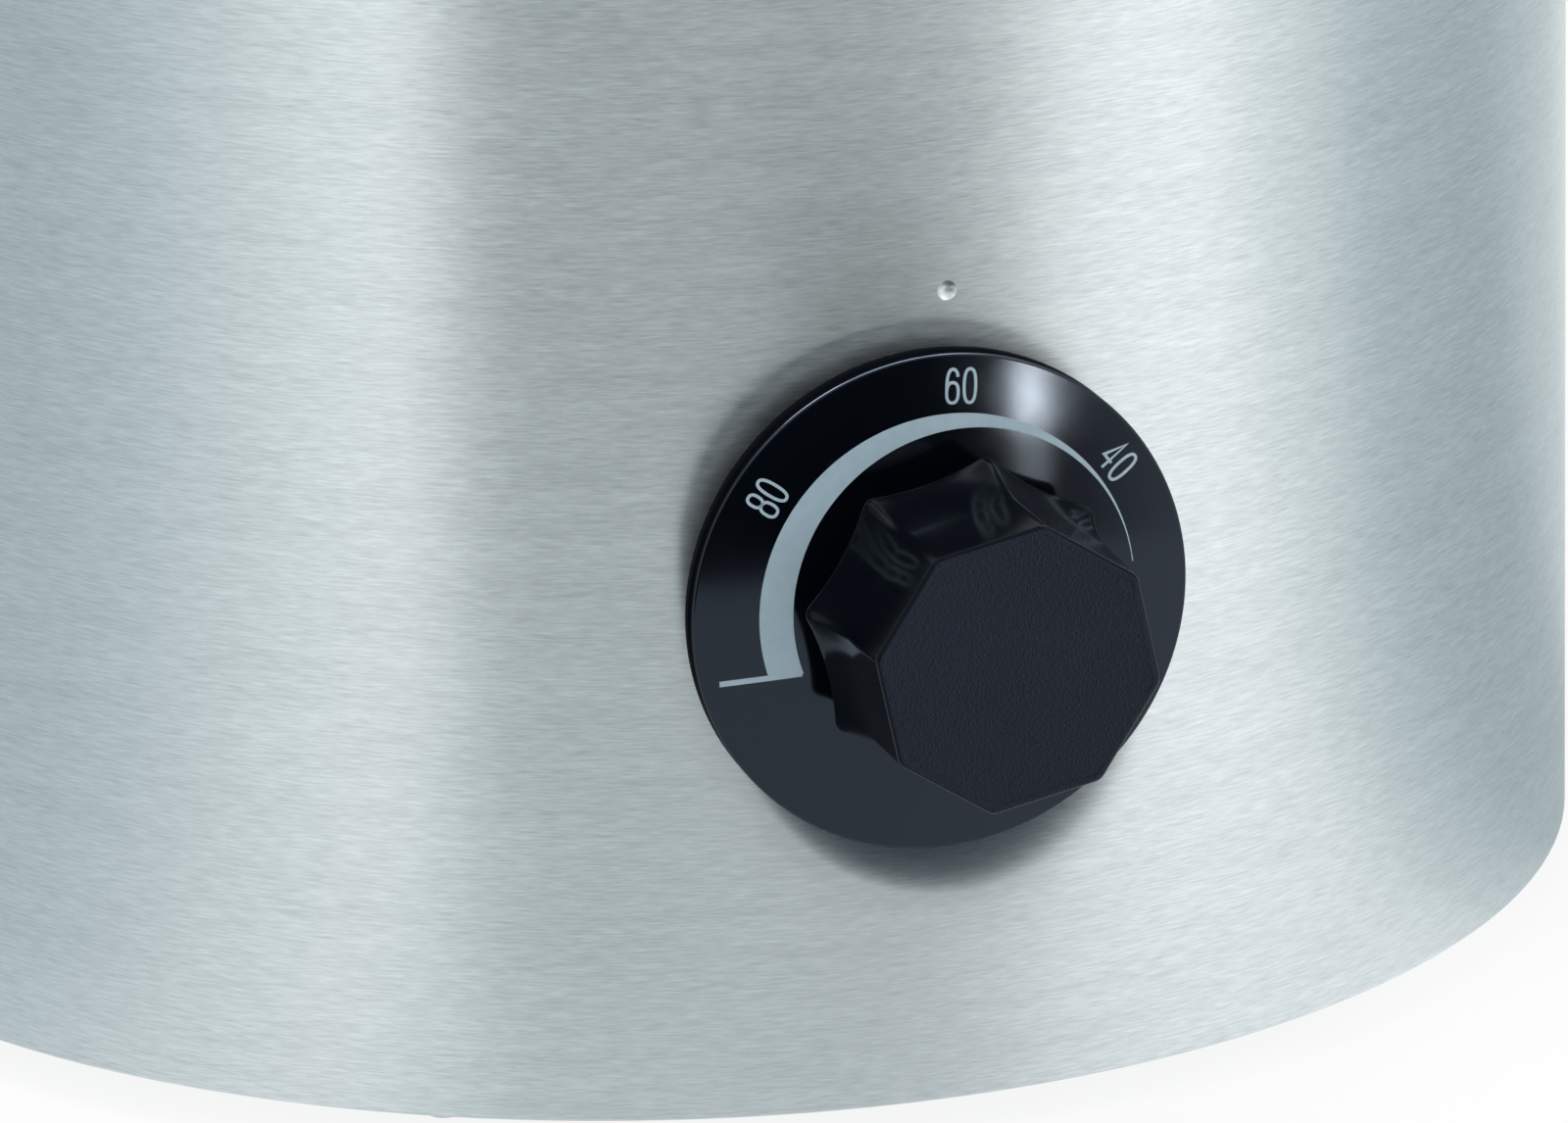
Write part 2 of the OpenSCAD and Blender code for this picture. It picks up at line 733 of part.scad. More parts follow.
module clamp_bridge() {
    color("silver") difference() {
        translate([0, 0, bridge_z]) cylinder(d = bridge_d, h = bridge_t);
        cylinder(d = stud_d + 2 * free, h = floor_z);
    }
}

module stud_nuts() {
    color("silver") for (z = [bridge_z - nut_h, shield_z1, shield_z0 - nut_h])
        translate([0, 0, z]) hex_nut(stud_d, nut_af, nut_h);
}

module heat_shield() {
    color("lightgray") difference() {
        translate([0, 0, shield_z0]) cylinder(r = shield_r, h = shield_t);
        cylinder(d = stud_d + 2 * free, h = floor_z);
        for (side = [-1, 1]) {
            translate([side * element_pin_x, element_pin_y, 0]) cylinder(r = lead_hole_r, h = floor_z);
            translate([cutout_x + side * blade_off, 0, 0]) cylinder(r = lead_hole_r, h = floor_z);
        }
        translate([thermo_x0 + capillary_in, capillary_y - capillary_hole_off, 0])
            cylinder(r = capillary_hole_r, h = floor_z);
    }
}

module overheat_cutout() {
    flange_l = 2 * (cutout_screw_y + cutout_ear);
    color("white") difference() {
        union() {
            translate([cutout_x - cutout_flange_w / 2, -flange_l / 2, heat_z - cutout_flange_t])
                cube([cutout_flange_w, flange_l, cutout_flange_t]);
            translate([cutout_x, 0, heat_z - cutout_flange_t - cutout_h])
                cylinder(d = cutout_d, h = cutout_h);
            for (side = [-1, 1])
                translate([cutout_x + side * blade_off - blade_t / 2, -blade_w / 2, blade_z])
                    cube([blade_t, blade_w, blade_len + over]);
        }
        for (y = [-1, 1]) translate([cutout_x, y * cutout_screw_y, 0])
            cylinder(d = small_screw_d + free, h = floor_z);
    }
}

module cutout_screws() {
    color("silver") for (y = [-1, 1])
        translate([cutout_x, y * cutout_screw_y, heat_z - cutout_flange_t]) rotate([180, 0, 0])
            pan_screw(small_screw_d, cutout_screw_len);
}

module thermostat_bracket() {
    color("silver") difference() {
        union() {
            translate([bracket_in, -bracket_w / 2, base_z1])
                cube([bracket_t, bracket_w, bracket_top - base_z1]);
            translate([bracket_in - bracket_foot, -bracket_w / 2, base_z1])
                cube([bracket_foot + bracket_t, bracket_w, bracket_t]);
        }
        radial(0, knob_z) cylinder(r = bush_r + free, h = shell_r);
        for (side = [-1, 1]) {
            radial(0, knob_z + side * thermo_pitch / 2) cylinder(d = screw_d + free, h = shell_r);
            translate([bracket_screw_x, side * bracket_screw_y, 0])
                cylinder(d = screw_d + free, h = base_z1 + bracket_t + over);
        }
    }
}

module bracket_screws() {
    color("silver") for (side = [-1, 1])
        translate([bracket_screw_x, side * bracket_screw_y, base_z1 + bracket_t])
            pan_screw(screw_d, bracket_t + base_t + screw_tail);
}

module thermostat_body() {
    color("white") difference() {
        union() {
            translate([thermo_x0, -thermo_w / 2, knob_z - thermo_h / 2])
                cube([thermo_depth, thermo_w, thermo_h]);
            radial(0, knob_z) translate([0, 0, bracket_in - over])
                cylinder(r = bush_r, h = bracket_t + 2 * over);
        }
        radial(0, knob_z) translate([0, 0, cam_x]) {
            cylinder(r = spindle_r + running, h = shell_r);
            cylinder(r = cam_r + free, h = cam_t + 2 * free);
        }
        for (side = [-1, 1]) radial(0, knob_z + side * thermo_pitch / 2)
            translate([0, 0, bracket_in - thermo_screw_len])
                cylinder(d = screw_d, h = thermo_screw_len + over);
    }
}

module thermostat_screws() {
    color("silver") for (side = [-1, 1]) radial(0, knob_z + side * thermo_pitch / 2)
        translate([0, 0, bracket_out]) pan_screw(screw_d, bracket_t + thermo_screw_len - thermo_screw_short);
}

module thermostat_spindle() {
    flat_len = spindle_end - dial_back;
    color("silver") radial(0, knob_z) difference() {
        union() {
            translate([0, 0, cam_x + free]) cylinder(r = spindle_r, h = spindle_end - cam_x - free);
            translate([0, 0, cam_x + free]) cylinder(r = cam_r, h = cam_t);
        }
        translate([-spindle_r - over, spindle_flat, dial_back])
            cube([2 * (spindle_r + over), spindle_r, flat_len + over]);
    }
}

module capillary_tube() {
    color("peru") tube_along(smooth(capillary_route), capillary_d / 2, wire_sides);
}

module sensor_bulb() {
    color("peru") translate([bulb_x, 0, bulb_z]) rotate([90, 0, 0])
        cylinder(r = bulb_r, h = bulb_len, center = true);
}

module bulb_clip() {
    clip_r = bulb_r + touch + clip_t;
    color("silver") difference() {
        union() {
            translate([bulb_x, 0, bulb_z]) rotate([90, 0, 0])
                cylinder(r = clip_r, h = clip_len, center = true);
            translate([bulb_x - clip_r, -clip_len / 2, bulb_z])
                cube([2 * clip_r, clip_len, floor_z - bulb_z]);
        }
        translate([bulb_x, 0, bulb_z]) rotate([90, 0, 0])
            cylinder(r = bulb_r + touch, h = 2 * clip_len, center = true);
        translate([bulb_x - bulb_r - touch, -clip_len, bulb_z])
            cube([2 * (bulb_r + touch), 2 * clip_len, floor_z]);
    }
}

module control_knob() {
    color([0.05, 0.055, 0.065]) radial(0, knob_z) translate([0, 0, dial_back]) difference() {
        union() {
            rotate_extrude() polygon([
                [0, 0], [dial_r - dial_edge, 0], [dial_r, dial_edge], [dial_r, dial_rim_t - dial_edge],
                [dial_r - dial_edge, dial_rim_t], [dial_flat_d / 2, dial_front], [0, dial_front]
            ]);
            intersection() {
                translate([0, 0, dial_rim_t]) rotate([0, 0, grip_turn])
                    cylinder(d1 = grip_d, d2 = grip_front_d, h = grip_h, $fn = 8);
                translate([0, 0, dial_rim_t])
                    cylinder(d1 = grip_d * grip_round, d2 = grip_front_d * grip_round, h = grip_h);
            }
        }
        difference() {
            translate([0, 0, -over]) cylinder(r = knob_hollow_r, h = knob_hollow_h + over);
            cylinder(r = knob_hub_r, h = knob_hollow_h + over);
        }
        difference() {
            translate([0, 0, -over]) cylinder(r = spindle_r + touch, h = knob_hollow_h + over);
            translate([-spindle_r - over, spindle_flat + touch, 0])
                cube([2 * (spindle_r + over), spindle_r, knob_hollow_h + over]);
        }
    }
}

module knob_clip() {
    color("silver") radial(0, knob_z) translate([0, 0, dial_back + knob_hollow_h / 3])
        rotate_extrude(angle = 300) translate([knob_hub_r + touch, 0]) square([knob_clip_t, knob_clip_w]);
}

module terminal_block() {
    color("ivory") difference() {
        translate([-block_w / 2, block_front_y, base_z1]) cube([block_w, block_depth, block_h]);
        for (pole = [-1, 0, 1]) {
            translate([pole * pole_pitch, block_y + block_depth / 2 + over, pole_z]) rotate([90, 0, 0])
                cylinder(d = wire_d + pole_hole_gap, h = block_depth / 2);
            translate([pole * pole_pitch, block_y, base_z1 + block_h - pole_screw_h])
                cylinder(d = wire_d + pole_screw_gap, h = pole_screw_h + over);
        }
        for (x = [-1, 1]) translate([x * block_screw_x, block_y, 0])
            cylinder(d = small_screw_d + free, h = base_z1 + block_h + over);
    }
}

module block_screws() {
    color("silver") for (x = [-1, 1]) translate([x * block_screw_x, block_y, base_z1 + block_h])
        pan_screw(small_screw_d, block_h + base_t + screw_tail);
}

module cable_gland() {
    color("dimgray") radial(gland_turn, gland_z) difference() {
        union() {
            translate([0, 0, gland_end_y])
                cylinder(r = gland_thread_r, h = gland_flange_y + over - gland_end_y);
            translate([0, 0, gland_flange_y]) cylinder(r = gland_corner_r, h = gland_flange_t, $fn = 6);
            translate([0, 0, gland_flange_y]) cylinder(r = gland_tail_r, h = gland_flange_t + gland_tail);
        }
        translate([0, 0, gland_end_y - over]) cylinder(d = gland_bore_d, h = shell_r);
    }
}

module gland_cap() {
    color("dimgray") radial(gland_turn, gland_z) translate([0, 0, gland_cap_y]) difference() {
        union() {
            cylinder(r = gland_af / 2, h = gland_cap_len - gland_cap_wall);
            translate([0, 0, gland_cap_len - gland_cap_wall])
                cylinder(r1 = gland_af / 2, r2 = gland_bore_d / 2 + gland_cap_lip, h = gland_cap_wall);
        }
        translate([0, 0, -over]) cylinder(r = gland_tail_r + touch, h = gland_tail + touch + over);
        cylinder(d = gland_bore_d, h = gland_cap_len + over);
    }
}

module gland_locknut() {
    color("dimgray") radial(gland_turn, gland_z) translate([0, 0, gland_nut_y - gland_nut_t])
        hex_nut(gland_thread_d, gland_af, gland_nut_t);
}

module live_wire() {
    color("saddlebrown") tube_along(smooth(live_route), wire_r, wire_sides);
}

module switched_wire() {
    color("saddlebrown") tube_along(smooth(switched_route), wire_r, wire_sides);
}

module heater_wire() {
    color("black") tube_along(smooth(heater_route), wire_r, wire_sides);
}

module neutral_wire() {
    color("royalblue") tube_along(smooth(neutral_route), wire_r, wire_sides);
}

module earth_wire() {
    color("yellowgreen") tube_along(smooth(earth_route), wire_r, wire_sides);
}

module earth_stud() {
    color("goldenrod") translate([0, earth_y, 0]) {
        translate([0, 0, base_z0]) cylinder(r = earth_stud_r, h = base_t + earth_nut_h + earth_stud_tail);
        translate([0, 0, base_z1]) cylinder(r = earth_nut_af / 2 / cos(30), h = earth_nut_h, $fn = 6);
    }
}

module tap_body() {
    color("gainsboro") difference() {
        union() {
            radial(-90, tap_z) {
                translate([0, 0, -shank_end_y]) cylinder(r = shank_r, h = shank_end_y - tap_flange_y);
                translate([0, 0, -tap_flange_y]) cylinder(r = tap_flange_r, h = tap_flange_t);
                translate([0, 0, -tap_flange_y]) cylinder(r = neck_r, h = tap_flange_y - tap_y);
            }
            translate([0, tap_y, 0]) {
                translate([0, 0, barrel_z0]) cylinder(r = barrel_r, h = barrel_z1 - barrel_z0);
                translate([0, 0, tap_z - spout_drop]) cylinder(
                    d1 = spout_d, d2 = spout_d + spout_taper, h = spout_drop + barrel_z0 - tap_z + over);
            }
        }
        radial(-90, tap_z) cylinder(d = waterway_d, h = -tap_y);
        translate([0, tap_y, 0]) {
            translate([0, 0, seat_z]) cylinder(r = chamber_r, h = barrel_z1 - seat_z + over);
            translate([0, 0, tap_z - spout_drop - over]) cylinder(d = spout_bore_d, h = spout_drop);
        }
    }
}

module tap_outer_seal() {
    color("dimgray") difference() {
        radial(-90, tap_z) translate([0, 0, vessel_r]) difference() {
            cylinder(r = tap_flange_r, h = -tap_flange_y - vessel_r);
            cylinder(r = tap_hole_r, h = shell_r);
        }
        cylinder(r = shell_r + touch, h = shell_z1, $fn = 180);
    }
}

module tap_spacer() {
    color("lightgray") intersection() {
        radial(-90, tap_z) difference() {
            cylinder(r = tap_flange_r, h = shell_r);
            cylinder(r = tap_hole_r, h = shell_r + over);
        }
        pipe(shell_in - touch, vessel_r + touch, floor_z, shell_z1);
    }
}

module tap_inner_seal() {
    color("dimgray") intersection() {
        radial(-90, tap_z) translate([0, 0, -inner_seal_y]) difference() {
            cylinder(r = tap_flange_r, h = shell_r);
            translate([0, 0, -over]) cylinder(r = tap_hole_r, h = shell_r + 2 * over);
        }
        cylinder(r = vessel_in - touch, h = shell_z1, $fn = 180);
    }
}

module tap_nut() {
    color("gainsboro") radial(-90, tap_z) translate([0, 0, -inner_seal_y - tap_nut_t])
        hex_nut(shank_d, tap_nut_af, tap_nut_t);
}

module tap_bonnet() {
    color("gainsboro") difference() {
        union() {
            translate([0, tap_y, 0]) {
                translate([0, 0, barrel_z1]) cylinder(r = bonnet_r, h = bonnet_h);
                translate([0, 0, barrel_z1 - spigot_h]) cylinder(r = chamber_r - touch, h = spigot_h + over);
            }
            for (side = [-1, 1]) translate([side * (ear_in + ear_t / 2), pivot_y, pivot_z]) {
                rotate([0, 90, 0]) cylinder(r = ear_r, h = ear_t, center = true);
                translate([-ear_t / 2, -ear_r, bonnet_z1 - pivot_z - over])
                    cube([ear_t, 2 * ear_r, pivot_z - bonnet_z1 + over]);
            }
        }
        translate([0, tap_y, barrel_z1 - spigot_h - over])
            cylinder(r = spring_chamber_r, h = ceiling_z - barrel_z1 + spigot_h + over);
        translate([0, tap_y, barrel_z1]) cylinder(r = stem_r + running, h = bonnet_h + over);
        translate([0, pivot_y, pivot_z]) rotate([0, 90, 0])
            cylinder(r = pivot_r + touch, h = 4 * ear_in, center = true);
    }
}

module tap_stem() {
    stem_z0 = seat_z + plug_t / 2;
    color("silver") translate([0, tap_y, 0]) difference() {
        union() {
            translate([0, 0, stem_z0])
                cylinder(r = stem_r, h = pivot_z + 2 * stem_pin_r + stem_head - stem_z0);
            translate([0, 0, collar_z]) cylinder(r = collar_r, h = collar_t);
        }
        translate([0, 0, pivot_z]) rotate([0, 90, 0])
            cylinder(r = stem_pin_r + touch, h = 4 * stem_r, center = true);
    }
}

module stem_pin() {
    color("silver") translate([0, tap_y, pivot_z]) rotate([0, 90, 0])
        cylinder(r = stem_pin_r, h = 2 * arm_out, center = true);
}

module valve_plug() {
    color("whitesmoke") translate([0, tap_y, seat_z]) difference() {
        cylinder(r = plug_r, h = plug_t);
        translate([0, 0, plug_t / 2]) cylinder(r = stem_r + touch, h = plug_t);
    }
}

module tap_spring() {
    steps = 10 * spring_turns;
    rise = ceiling_z - spring_z0 - spring_wire_d - 2 * touch;
    helix = [
        for (i = [0 : steps]) let (a = 360 * spring_turns * i / steps) [
            spring_r * cos(a), tap_y + spring_r * sin(a),
            spring_z0 + spring_wire_d / 2 + touch + rise * i / steps
        ]
    ];
    color("silver") tube_along(helix, spring_wire_d / 2, 6);
}

module pivot_pin() {
    length = 2 * (ear_in + ear_t);
    color("silver") translate([0, pivot_y, pivot_z]) rotate([0, 90, 0]) {
        cylinder(r = pivot_r, h = length + 2 * pin_head, center = true);
        for (side = [-1, 1]) translate([0, 0, side * (length + pin_head) / 2])
            cylinder(r = pivot_r + pin_head_step, h = pin_head, center = true);
    }
}

module tap_lever() {
    color("gainsboro") difference() {
        translate([0, pivot_y, pivot_z]) {
            rotate([0, 90, 0]) cylinder(r = hub_r, h = 2 * arm_out, center = true);
            for (side = [-1, 1]) translate([side * (arm_in + arm_out) / 2, arm_end / 2, 0])
                cube([arm_out - arm_in, arm_end, arm_h], center = true);
            translate([-neck_w / 2, -neck_w / 2, 0]) cube([neck_w, neck_w, lever_neck]);
            cylinder(r = grip_stud_r, h = lever_neck + grip_stud_len);
        }
        translate([0, pivot_y, pivot_z]) {
            rotate([0, 90, 0]) cylinder(r = pivot_r + running, h = 4 * arm_out, center = true);
            for (reach = [lever_arm, arm_reach]) translate([0, reach, 0]) rotate([0, 90, 0])
                cylinder(r = slot_r, h = 4 * arm_out, center = true);
            translate([-2 * arm_out, lever_arm, -slot_r])
                cube([4 * arm_out, arm_reach - lever_arm, 2 * slot_r]);
        }
        translate([0, tap_y, pivot_z - hub_r - over]) cylinder(r = arm_in, h = 2 * hub_r + 2 * over);
    }
}

module lever_grip() {
    top_r = lever_grip_d / 2;
    edge = grip_edge;
    color([0.05, 0.055, 0.065]) translate([0, pivot_y, lever_grip_z]) difference() {
        rotate_extrude() {
            polygon([
                [0, 0], [lever_grip_foot_r, 0], [top_r, lever_grip_len - 2 * edge],
                [top_r, lever_grip_len - edge], [0, lever_grip_len - edge]
            ]);
            square([top_r - edge, lever_grip_len]);
            translate([top_r - edge, lever_grip_len - edge]) circle(edge);
        }
        translate([0, 0, -over]) cylinder(r = grip_stud_r + touch, h = grip_stud_len + touch + over);
    }
}

module lid() {
    color("silver") difference() {
        rotate_extrude($fn = 180) {
            translate([lid_in - lid_t, rim_z1]) square([lid_r - lid_bead_r - lid_in + lid_t, lid_t]);
            translate([lid_in - lid_t, rim_z1 - lid_skirt]) square([lid_t, lid_skirt + lid_t]);
            translate([lid_r - lid_bead_r, rim_z1 + lid_bead_r]) circle(lid_bead_r);
            intersection() {
                translate([0, dome_z]) difference() {
                    circle(dome_r, $fn = 180);
                    circle(dome_r - lid_t, $fn = 180);
                }
                translate([0, rim_z1]) square([lid_in, lid_rise + over]);
            }
        }
        cylinder(d = handle_screw_d + free, h = lid_top + over);
    }
}

module lid_knob() {
    head_r = lid_knob_d / 2;
    color([0.05, 0.055, 0.065]) translate([0, 0, lid_top]) difference() {
        rotate_extrude() {
            square([lid_knob_neck_r, lid_knob_h - lid_knob_edge]);
            translate([0, lid_knob_h - 2 * lid_knob_edge])
                square([head_r - lid_knob_edge, 2 * lid_knob_edge]);
            translate([head_r - lid_knob_edge, lid_knob_h - lid_knob_edge]) circle(lid_knob_edge);
        }
        translate([0, 0, -over]) cylinder(d = handle_screw_d, h = lid_screw_bite + over);
    }
}

module lid_screw() {
    color("silver") translate([0, 0, lid_top - lid_t - free]) rotate([180, 0, 0])
        pan_screw(handle_screw_d, lid_screw_bite + lid_t);
}

// A side handle: a bar that follows the body, on two legs
module side_handle() {
    color([0.05, 0.055, 0.065]) difference() {
        union() {
            rotate([0, 0, -bar_angle]) translate([0, 0, handle_z])
                rotate_extrude(angle = 2 * bar_angle, $fn = 180)
                    translate([bar_r, 0]) round_rect(bar_w, bar_h, bar_round);
            for (a = [-leg_angle, leg_angle]) radial(a, handle_z) translate([0, 0, shell_in])
                linear_extrude(bar_r - shell_in) round_rect(bar_h, leg_w, bar_round);
        }
        cylinder(r = shell_r + touch, h = shell_z1, $fn = 180);
        for (a = [-leg_angle, leg_angle]) radial(a, handle_z)
            cylinder(d = handle_screw_d, h = shell_r + handle_screw_bite);
    }
}

module right_handle() {
    side_handle();
}

module left_handle() {
    rotate([0, 0, 180]) side_handle();
}

module handle_screws() {
    color("silver") at_handle_screws() translate([0, 0, handle_head_seat]) rotate([180, 0, 0])
        pan_screw(handle_screw_d, shell_r + handle_screw_bite - handle_head_seat - handle_screw_short);
}

outer_shell();
base_plate();
base_screws();
rubber_feet();
foot_screws();
foot_nuts();
inner_vessel();
rim_seal();
insulation_sleeve();
heat_plate();
heating_element();
clamp_bridge();
stud_nuts();
heat_shield();
overheat_cutout();
cutout_screws();
thermostat_bracket();
bracket_screws();
thermostat_body();
thermostat_screws();
thermostat_spindle();
capillary_tube();
sensor_bulb();
bulb_clip();
control_knob();
knob_clip();
terminal_block();
block_screws();
cable_gland();
gland_cap();
gland_locknut();
live_wire();
switched_wire();
heater_wire();
neutral_wire();
earth_wire();
earth_stud();
tap_body();
tap_outer_seal();
tap_spacer();
tap_inner_seal();
tap_nut();
tap_bonnet();
tap_stem();
stem_pin();
valve_plug();
tap_spring();
pivot_pin();
tap_lever();
lever_grip();
lid();
lid_knob();
lid_screw();
left_handle();
right_handle();
handle_screws();
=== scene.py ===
import math

import bmesh
import bpy
from mathutils import Matrix, Vector


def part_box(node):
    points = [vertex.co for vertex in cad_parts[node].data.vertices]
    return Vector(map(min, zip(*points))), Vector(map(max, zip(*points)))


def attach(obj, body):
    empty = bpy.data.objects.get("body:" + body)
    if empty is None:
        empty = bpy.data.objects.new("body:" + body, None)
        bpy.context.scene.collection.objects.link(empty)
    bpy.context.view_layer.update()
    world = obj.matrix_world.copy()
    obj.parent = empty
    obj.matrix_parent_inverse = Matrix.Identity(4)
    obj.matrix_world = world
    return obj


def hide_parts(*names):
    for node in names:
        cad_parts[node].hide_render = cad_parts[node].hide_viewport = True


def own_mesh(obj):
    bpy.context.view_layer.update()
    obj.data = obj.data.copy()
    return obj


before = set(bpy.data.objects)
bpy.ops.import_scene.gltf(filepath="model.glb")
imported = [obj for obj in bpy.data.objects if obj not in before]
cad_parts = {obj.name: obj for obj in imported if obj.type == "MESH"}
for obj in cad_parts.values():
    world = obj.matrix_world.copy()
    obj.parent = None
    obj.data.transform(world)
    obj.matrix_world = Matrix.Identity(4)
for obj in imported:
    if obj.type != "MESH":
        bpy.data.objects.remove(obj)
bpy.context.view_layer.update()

# The view
# A long lens looks down on the lower right of the body, where the temperature knob stands.
# Its place and turn were fitted to the knob's corners and the body's bottom edge.
scene = bpy.context.scene
scene.view_settings.view_transform = "Standard"
camera_azimuth = math.radians(-16.177)
camera_distance = 1.472034
camera_height = 0.52459
camera_yaw = math.radians(0.674)
camera_pitch = math.radians(18.274)
camera_roll = math.radians(-1.174)

camera_data = bpy.data.cameras.new("view")
camera_data.lens = 270
camera_data.sensor_width = 36
camera_data.clip_start = 0.05
camera_data.clip_end = 60
camera = bpy.data.objects.new("view", camera_data)
scene.collection.objects.link(camera)
scene.camera = camera

level_right = Vector((math.cos(camera_yaw), -math.sin(camera_yaw), 0))
ahead = Vector((math.sin(camera_yaw) * math.cos(camera_pitch),
                math.cos(camera_yaw) * math.cos(camera_pitch), -math.sin(camera_pitch)))
level_up = level_right.cross(ahead)
image_right = math.cos(camera_roll) * level_right + math.sin(camera_roll) * level_up
image_up = math.cos(camera_roll) * level_up - math.sin(camera_roll) * level_right
facing = Matrix((image_right, image_up, -ahead)).transposed().to_4x4()
camera.matrix_world = (Matrix.Rotation(math.pi / 2 + camera_azimuth, 4, "Z")
                       @ Matrix.Translation((0, -camera_distance, camera_height)) @ facing)

# The studio
# A pale floor, a white surround and four soft lamps: two in front, one overhead and one behind.
# Toned cards that only reflections see give the steel its bands, and narrow strips light the knob alone.
mm = 0.001


def new_object(name, points, faces):
    """A mesh object at the origin, linked to the scene."""
    mesh = bpy.data.meshes.new(name)
    mesh.from_pydata([tuple(point) for point in points], [], faces)
    mesh.update()
    obj = bpy.data.objects.new(name, mesh)
    scene.collection.objects.link(obj)
    return obj


def add_node(tree, kind, **values):
    """A new node with some of its properties set."""
    node = tree.nodes.new(kind)
    for name, value in values.items():
        setattr(node, name, value)
    return node


def colour_sockets(sockets):
    """The colour sockets among the sockets of a mix node."""
    return [socket for socket in sockets if socket.type == "RGBA"]


def seen_as_background(tree):
    """One where the camera, a reflection or a clear piece looks straight at the surround."""
    path = add_node(tree, "ShaderNodeLightPath")
    glossy = add_node(tree, "ShaderNodeMath", operation="MAXIMUM")
    clear = add_node(tree, "ShaderNodeMath", operation="MAXIMUM")
    tree.links.new(path.outputs["Is Camera Ray"], glossy.inputs[0])
    tree.links.new(path.outputs["Is Glossy Ray"], glossy.inputs[1])
    tree.links.new(glossy.outputs[0], clear.inputs[0])
    tree.links.new(path.outputs["Is Transmission Ray"], clear.inputs[1])
    return clear.outputs[0]


surround_light = 0.55
world = bpy.data.worlds.new("surround")
scene.world = world
world.use_nodes = True
world_tree = world.node_tree
surround = world_tree.nodes["Background"]
surround.inputs["Color"].default_value = (1, 1, 1, 1)
level = add_node(world_tree, "ShaderNodeMapRange")
world_tree.links.new(seen_as_background(world_tree), level.inputs["Value"])
level.inputs["To Min"].default_value = surround_light
level.inputs["To Max"].default_value = 1
world_tree.links.new(level.outputs["Result"], surround.inputs["Strength"])

floor_radius = 9.0
floor_columns = 96
floor_grey = 0.82
floor_glow_share = 0.86
floor_rim = [(floor_radius * math.cos(2 * math.pi * i / floor_columns),
              floor_radius * math.sin(2 * math.pi * i / floor_columns), 0) for i in range(floor_columns)]
floor = new_object("floor", floor_rim, [tuple(range(floor_columns))])
floor_paint = bpy.data.materials.new("pale_floor")
floor_paint.use_nodes = True
floor_tree = floor_paint.node_tree
floor_matte = floor_tree.nodes["Principled BSDF"]
floor_matte.inputs["Base Color"].default_value = (floor_grey, floor_grey, floor_grey, 1)
floor_matte.inputs["Roughness"].default_value = 0.9
floor_glow = add_node(floor_tree, "ShaderNodeEmission")
floor_mix = add_node(floor_tree, "ShaderNodeMixShader")
floor_share = add_node(floor_tree, "ShaderNodeMath", operation="MULTIPLY")
floor_share.inputs[1].default_value = floor_glow_share
floor_tree.links.new(seen_as_background(floor_tree), floor_share.inputs[0])
floor_tree.links.new(floor_share.outputs[0], floor_mix.inputs["Fac"])
floor_tree.links.new(floor_matte.outputs[0], floor_mix.inputs[1])
floor_tree.links.new(floor_glow.outputs[0], floor_mix.inputs[2])
floor_tree.links.new(floor_mix.outputs[0], floor_tree.nodes["Material Output"].inputs["Surface"])
floor.data.materials.append(floor_paint)

less_red = 0.22
more_blue = 0.08


def cool_grey(value):
    """A grey of a given level, a little cooler the darker it is."""
    shade = max(0.0, 1 - value)
    return (value * (1 - less_red * shade), value, value * (1 + more_blue * shade), 1)


def by_azimuth(tree, tones, low):
    """A grey that changes with the direction about the z axis, from pairs of azimuth and level."""
    place = add_node(tree, "ShaderNodeSeparateXYZ")
    tree.links.new(add_node(tree, "ShaderNodeTexCoord").outputs["Object"], place.inputs[0])
    heading = add_node(tree, "ShaderNodeMath", operation="ARCTAN2")
    tree.links.new(place.outputs["Y"], heading.inputs[0])
    tree.links.new(place.outputs["X"], heading.inputs[1])
    share = add_node(tree, "ShaderNodeMapRange")
    share.inputs["From Min"].default_value = -math.pi
    share.inputs["From Max"].default_value = math.pi
    tree.links.new(heading.outputs[0], share.inputs["Value"])
    ramps = []
    for dark in (False, True):
        ramp = add_node(tree, "ShaderNodeValToRGB")
        ramp.color_ramp.interpolation = "EASE"
        stops = ramp.color_ramp.elements
        while len(stops) < len(tones):
            stops.new(0.5)
        for stop, (azimuth, level) in zip(stops, tones):
            stop.position = (azimuth + 180) / 360
            stop.color = cool_grey(low(azimuth, level) if dark else level)
        tree.links.new(share.outputs[0], ramp.inputs[0])
        ramps.append(ramp.outputs["Color"])
    return place.outputs["Z"], ramps


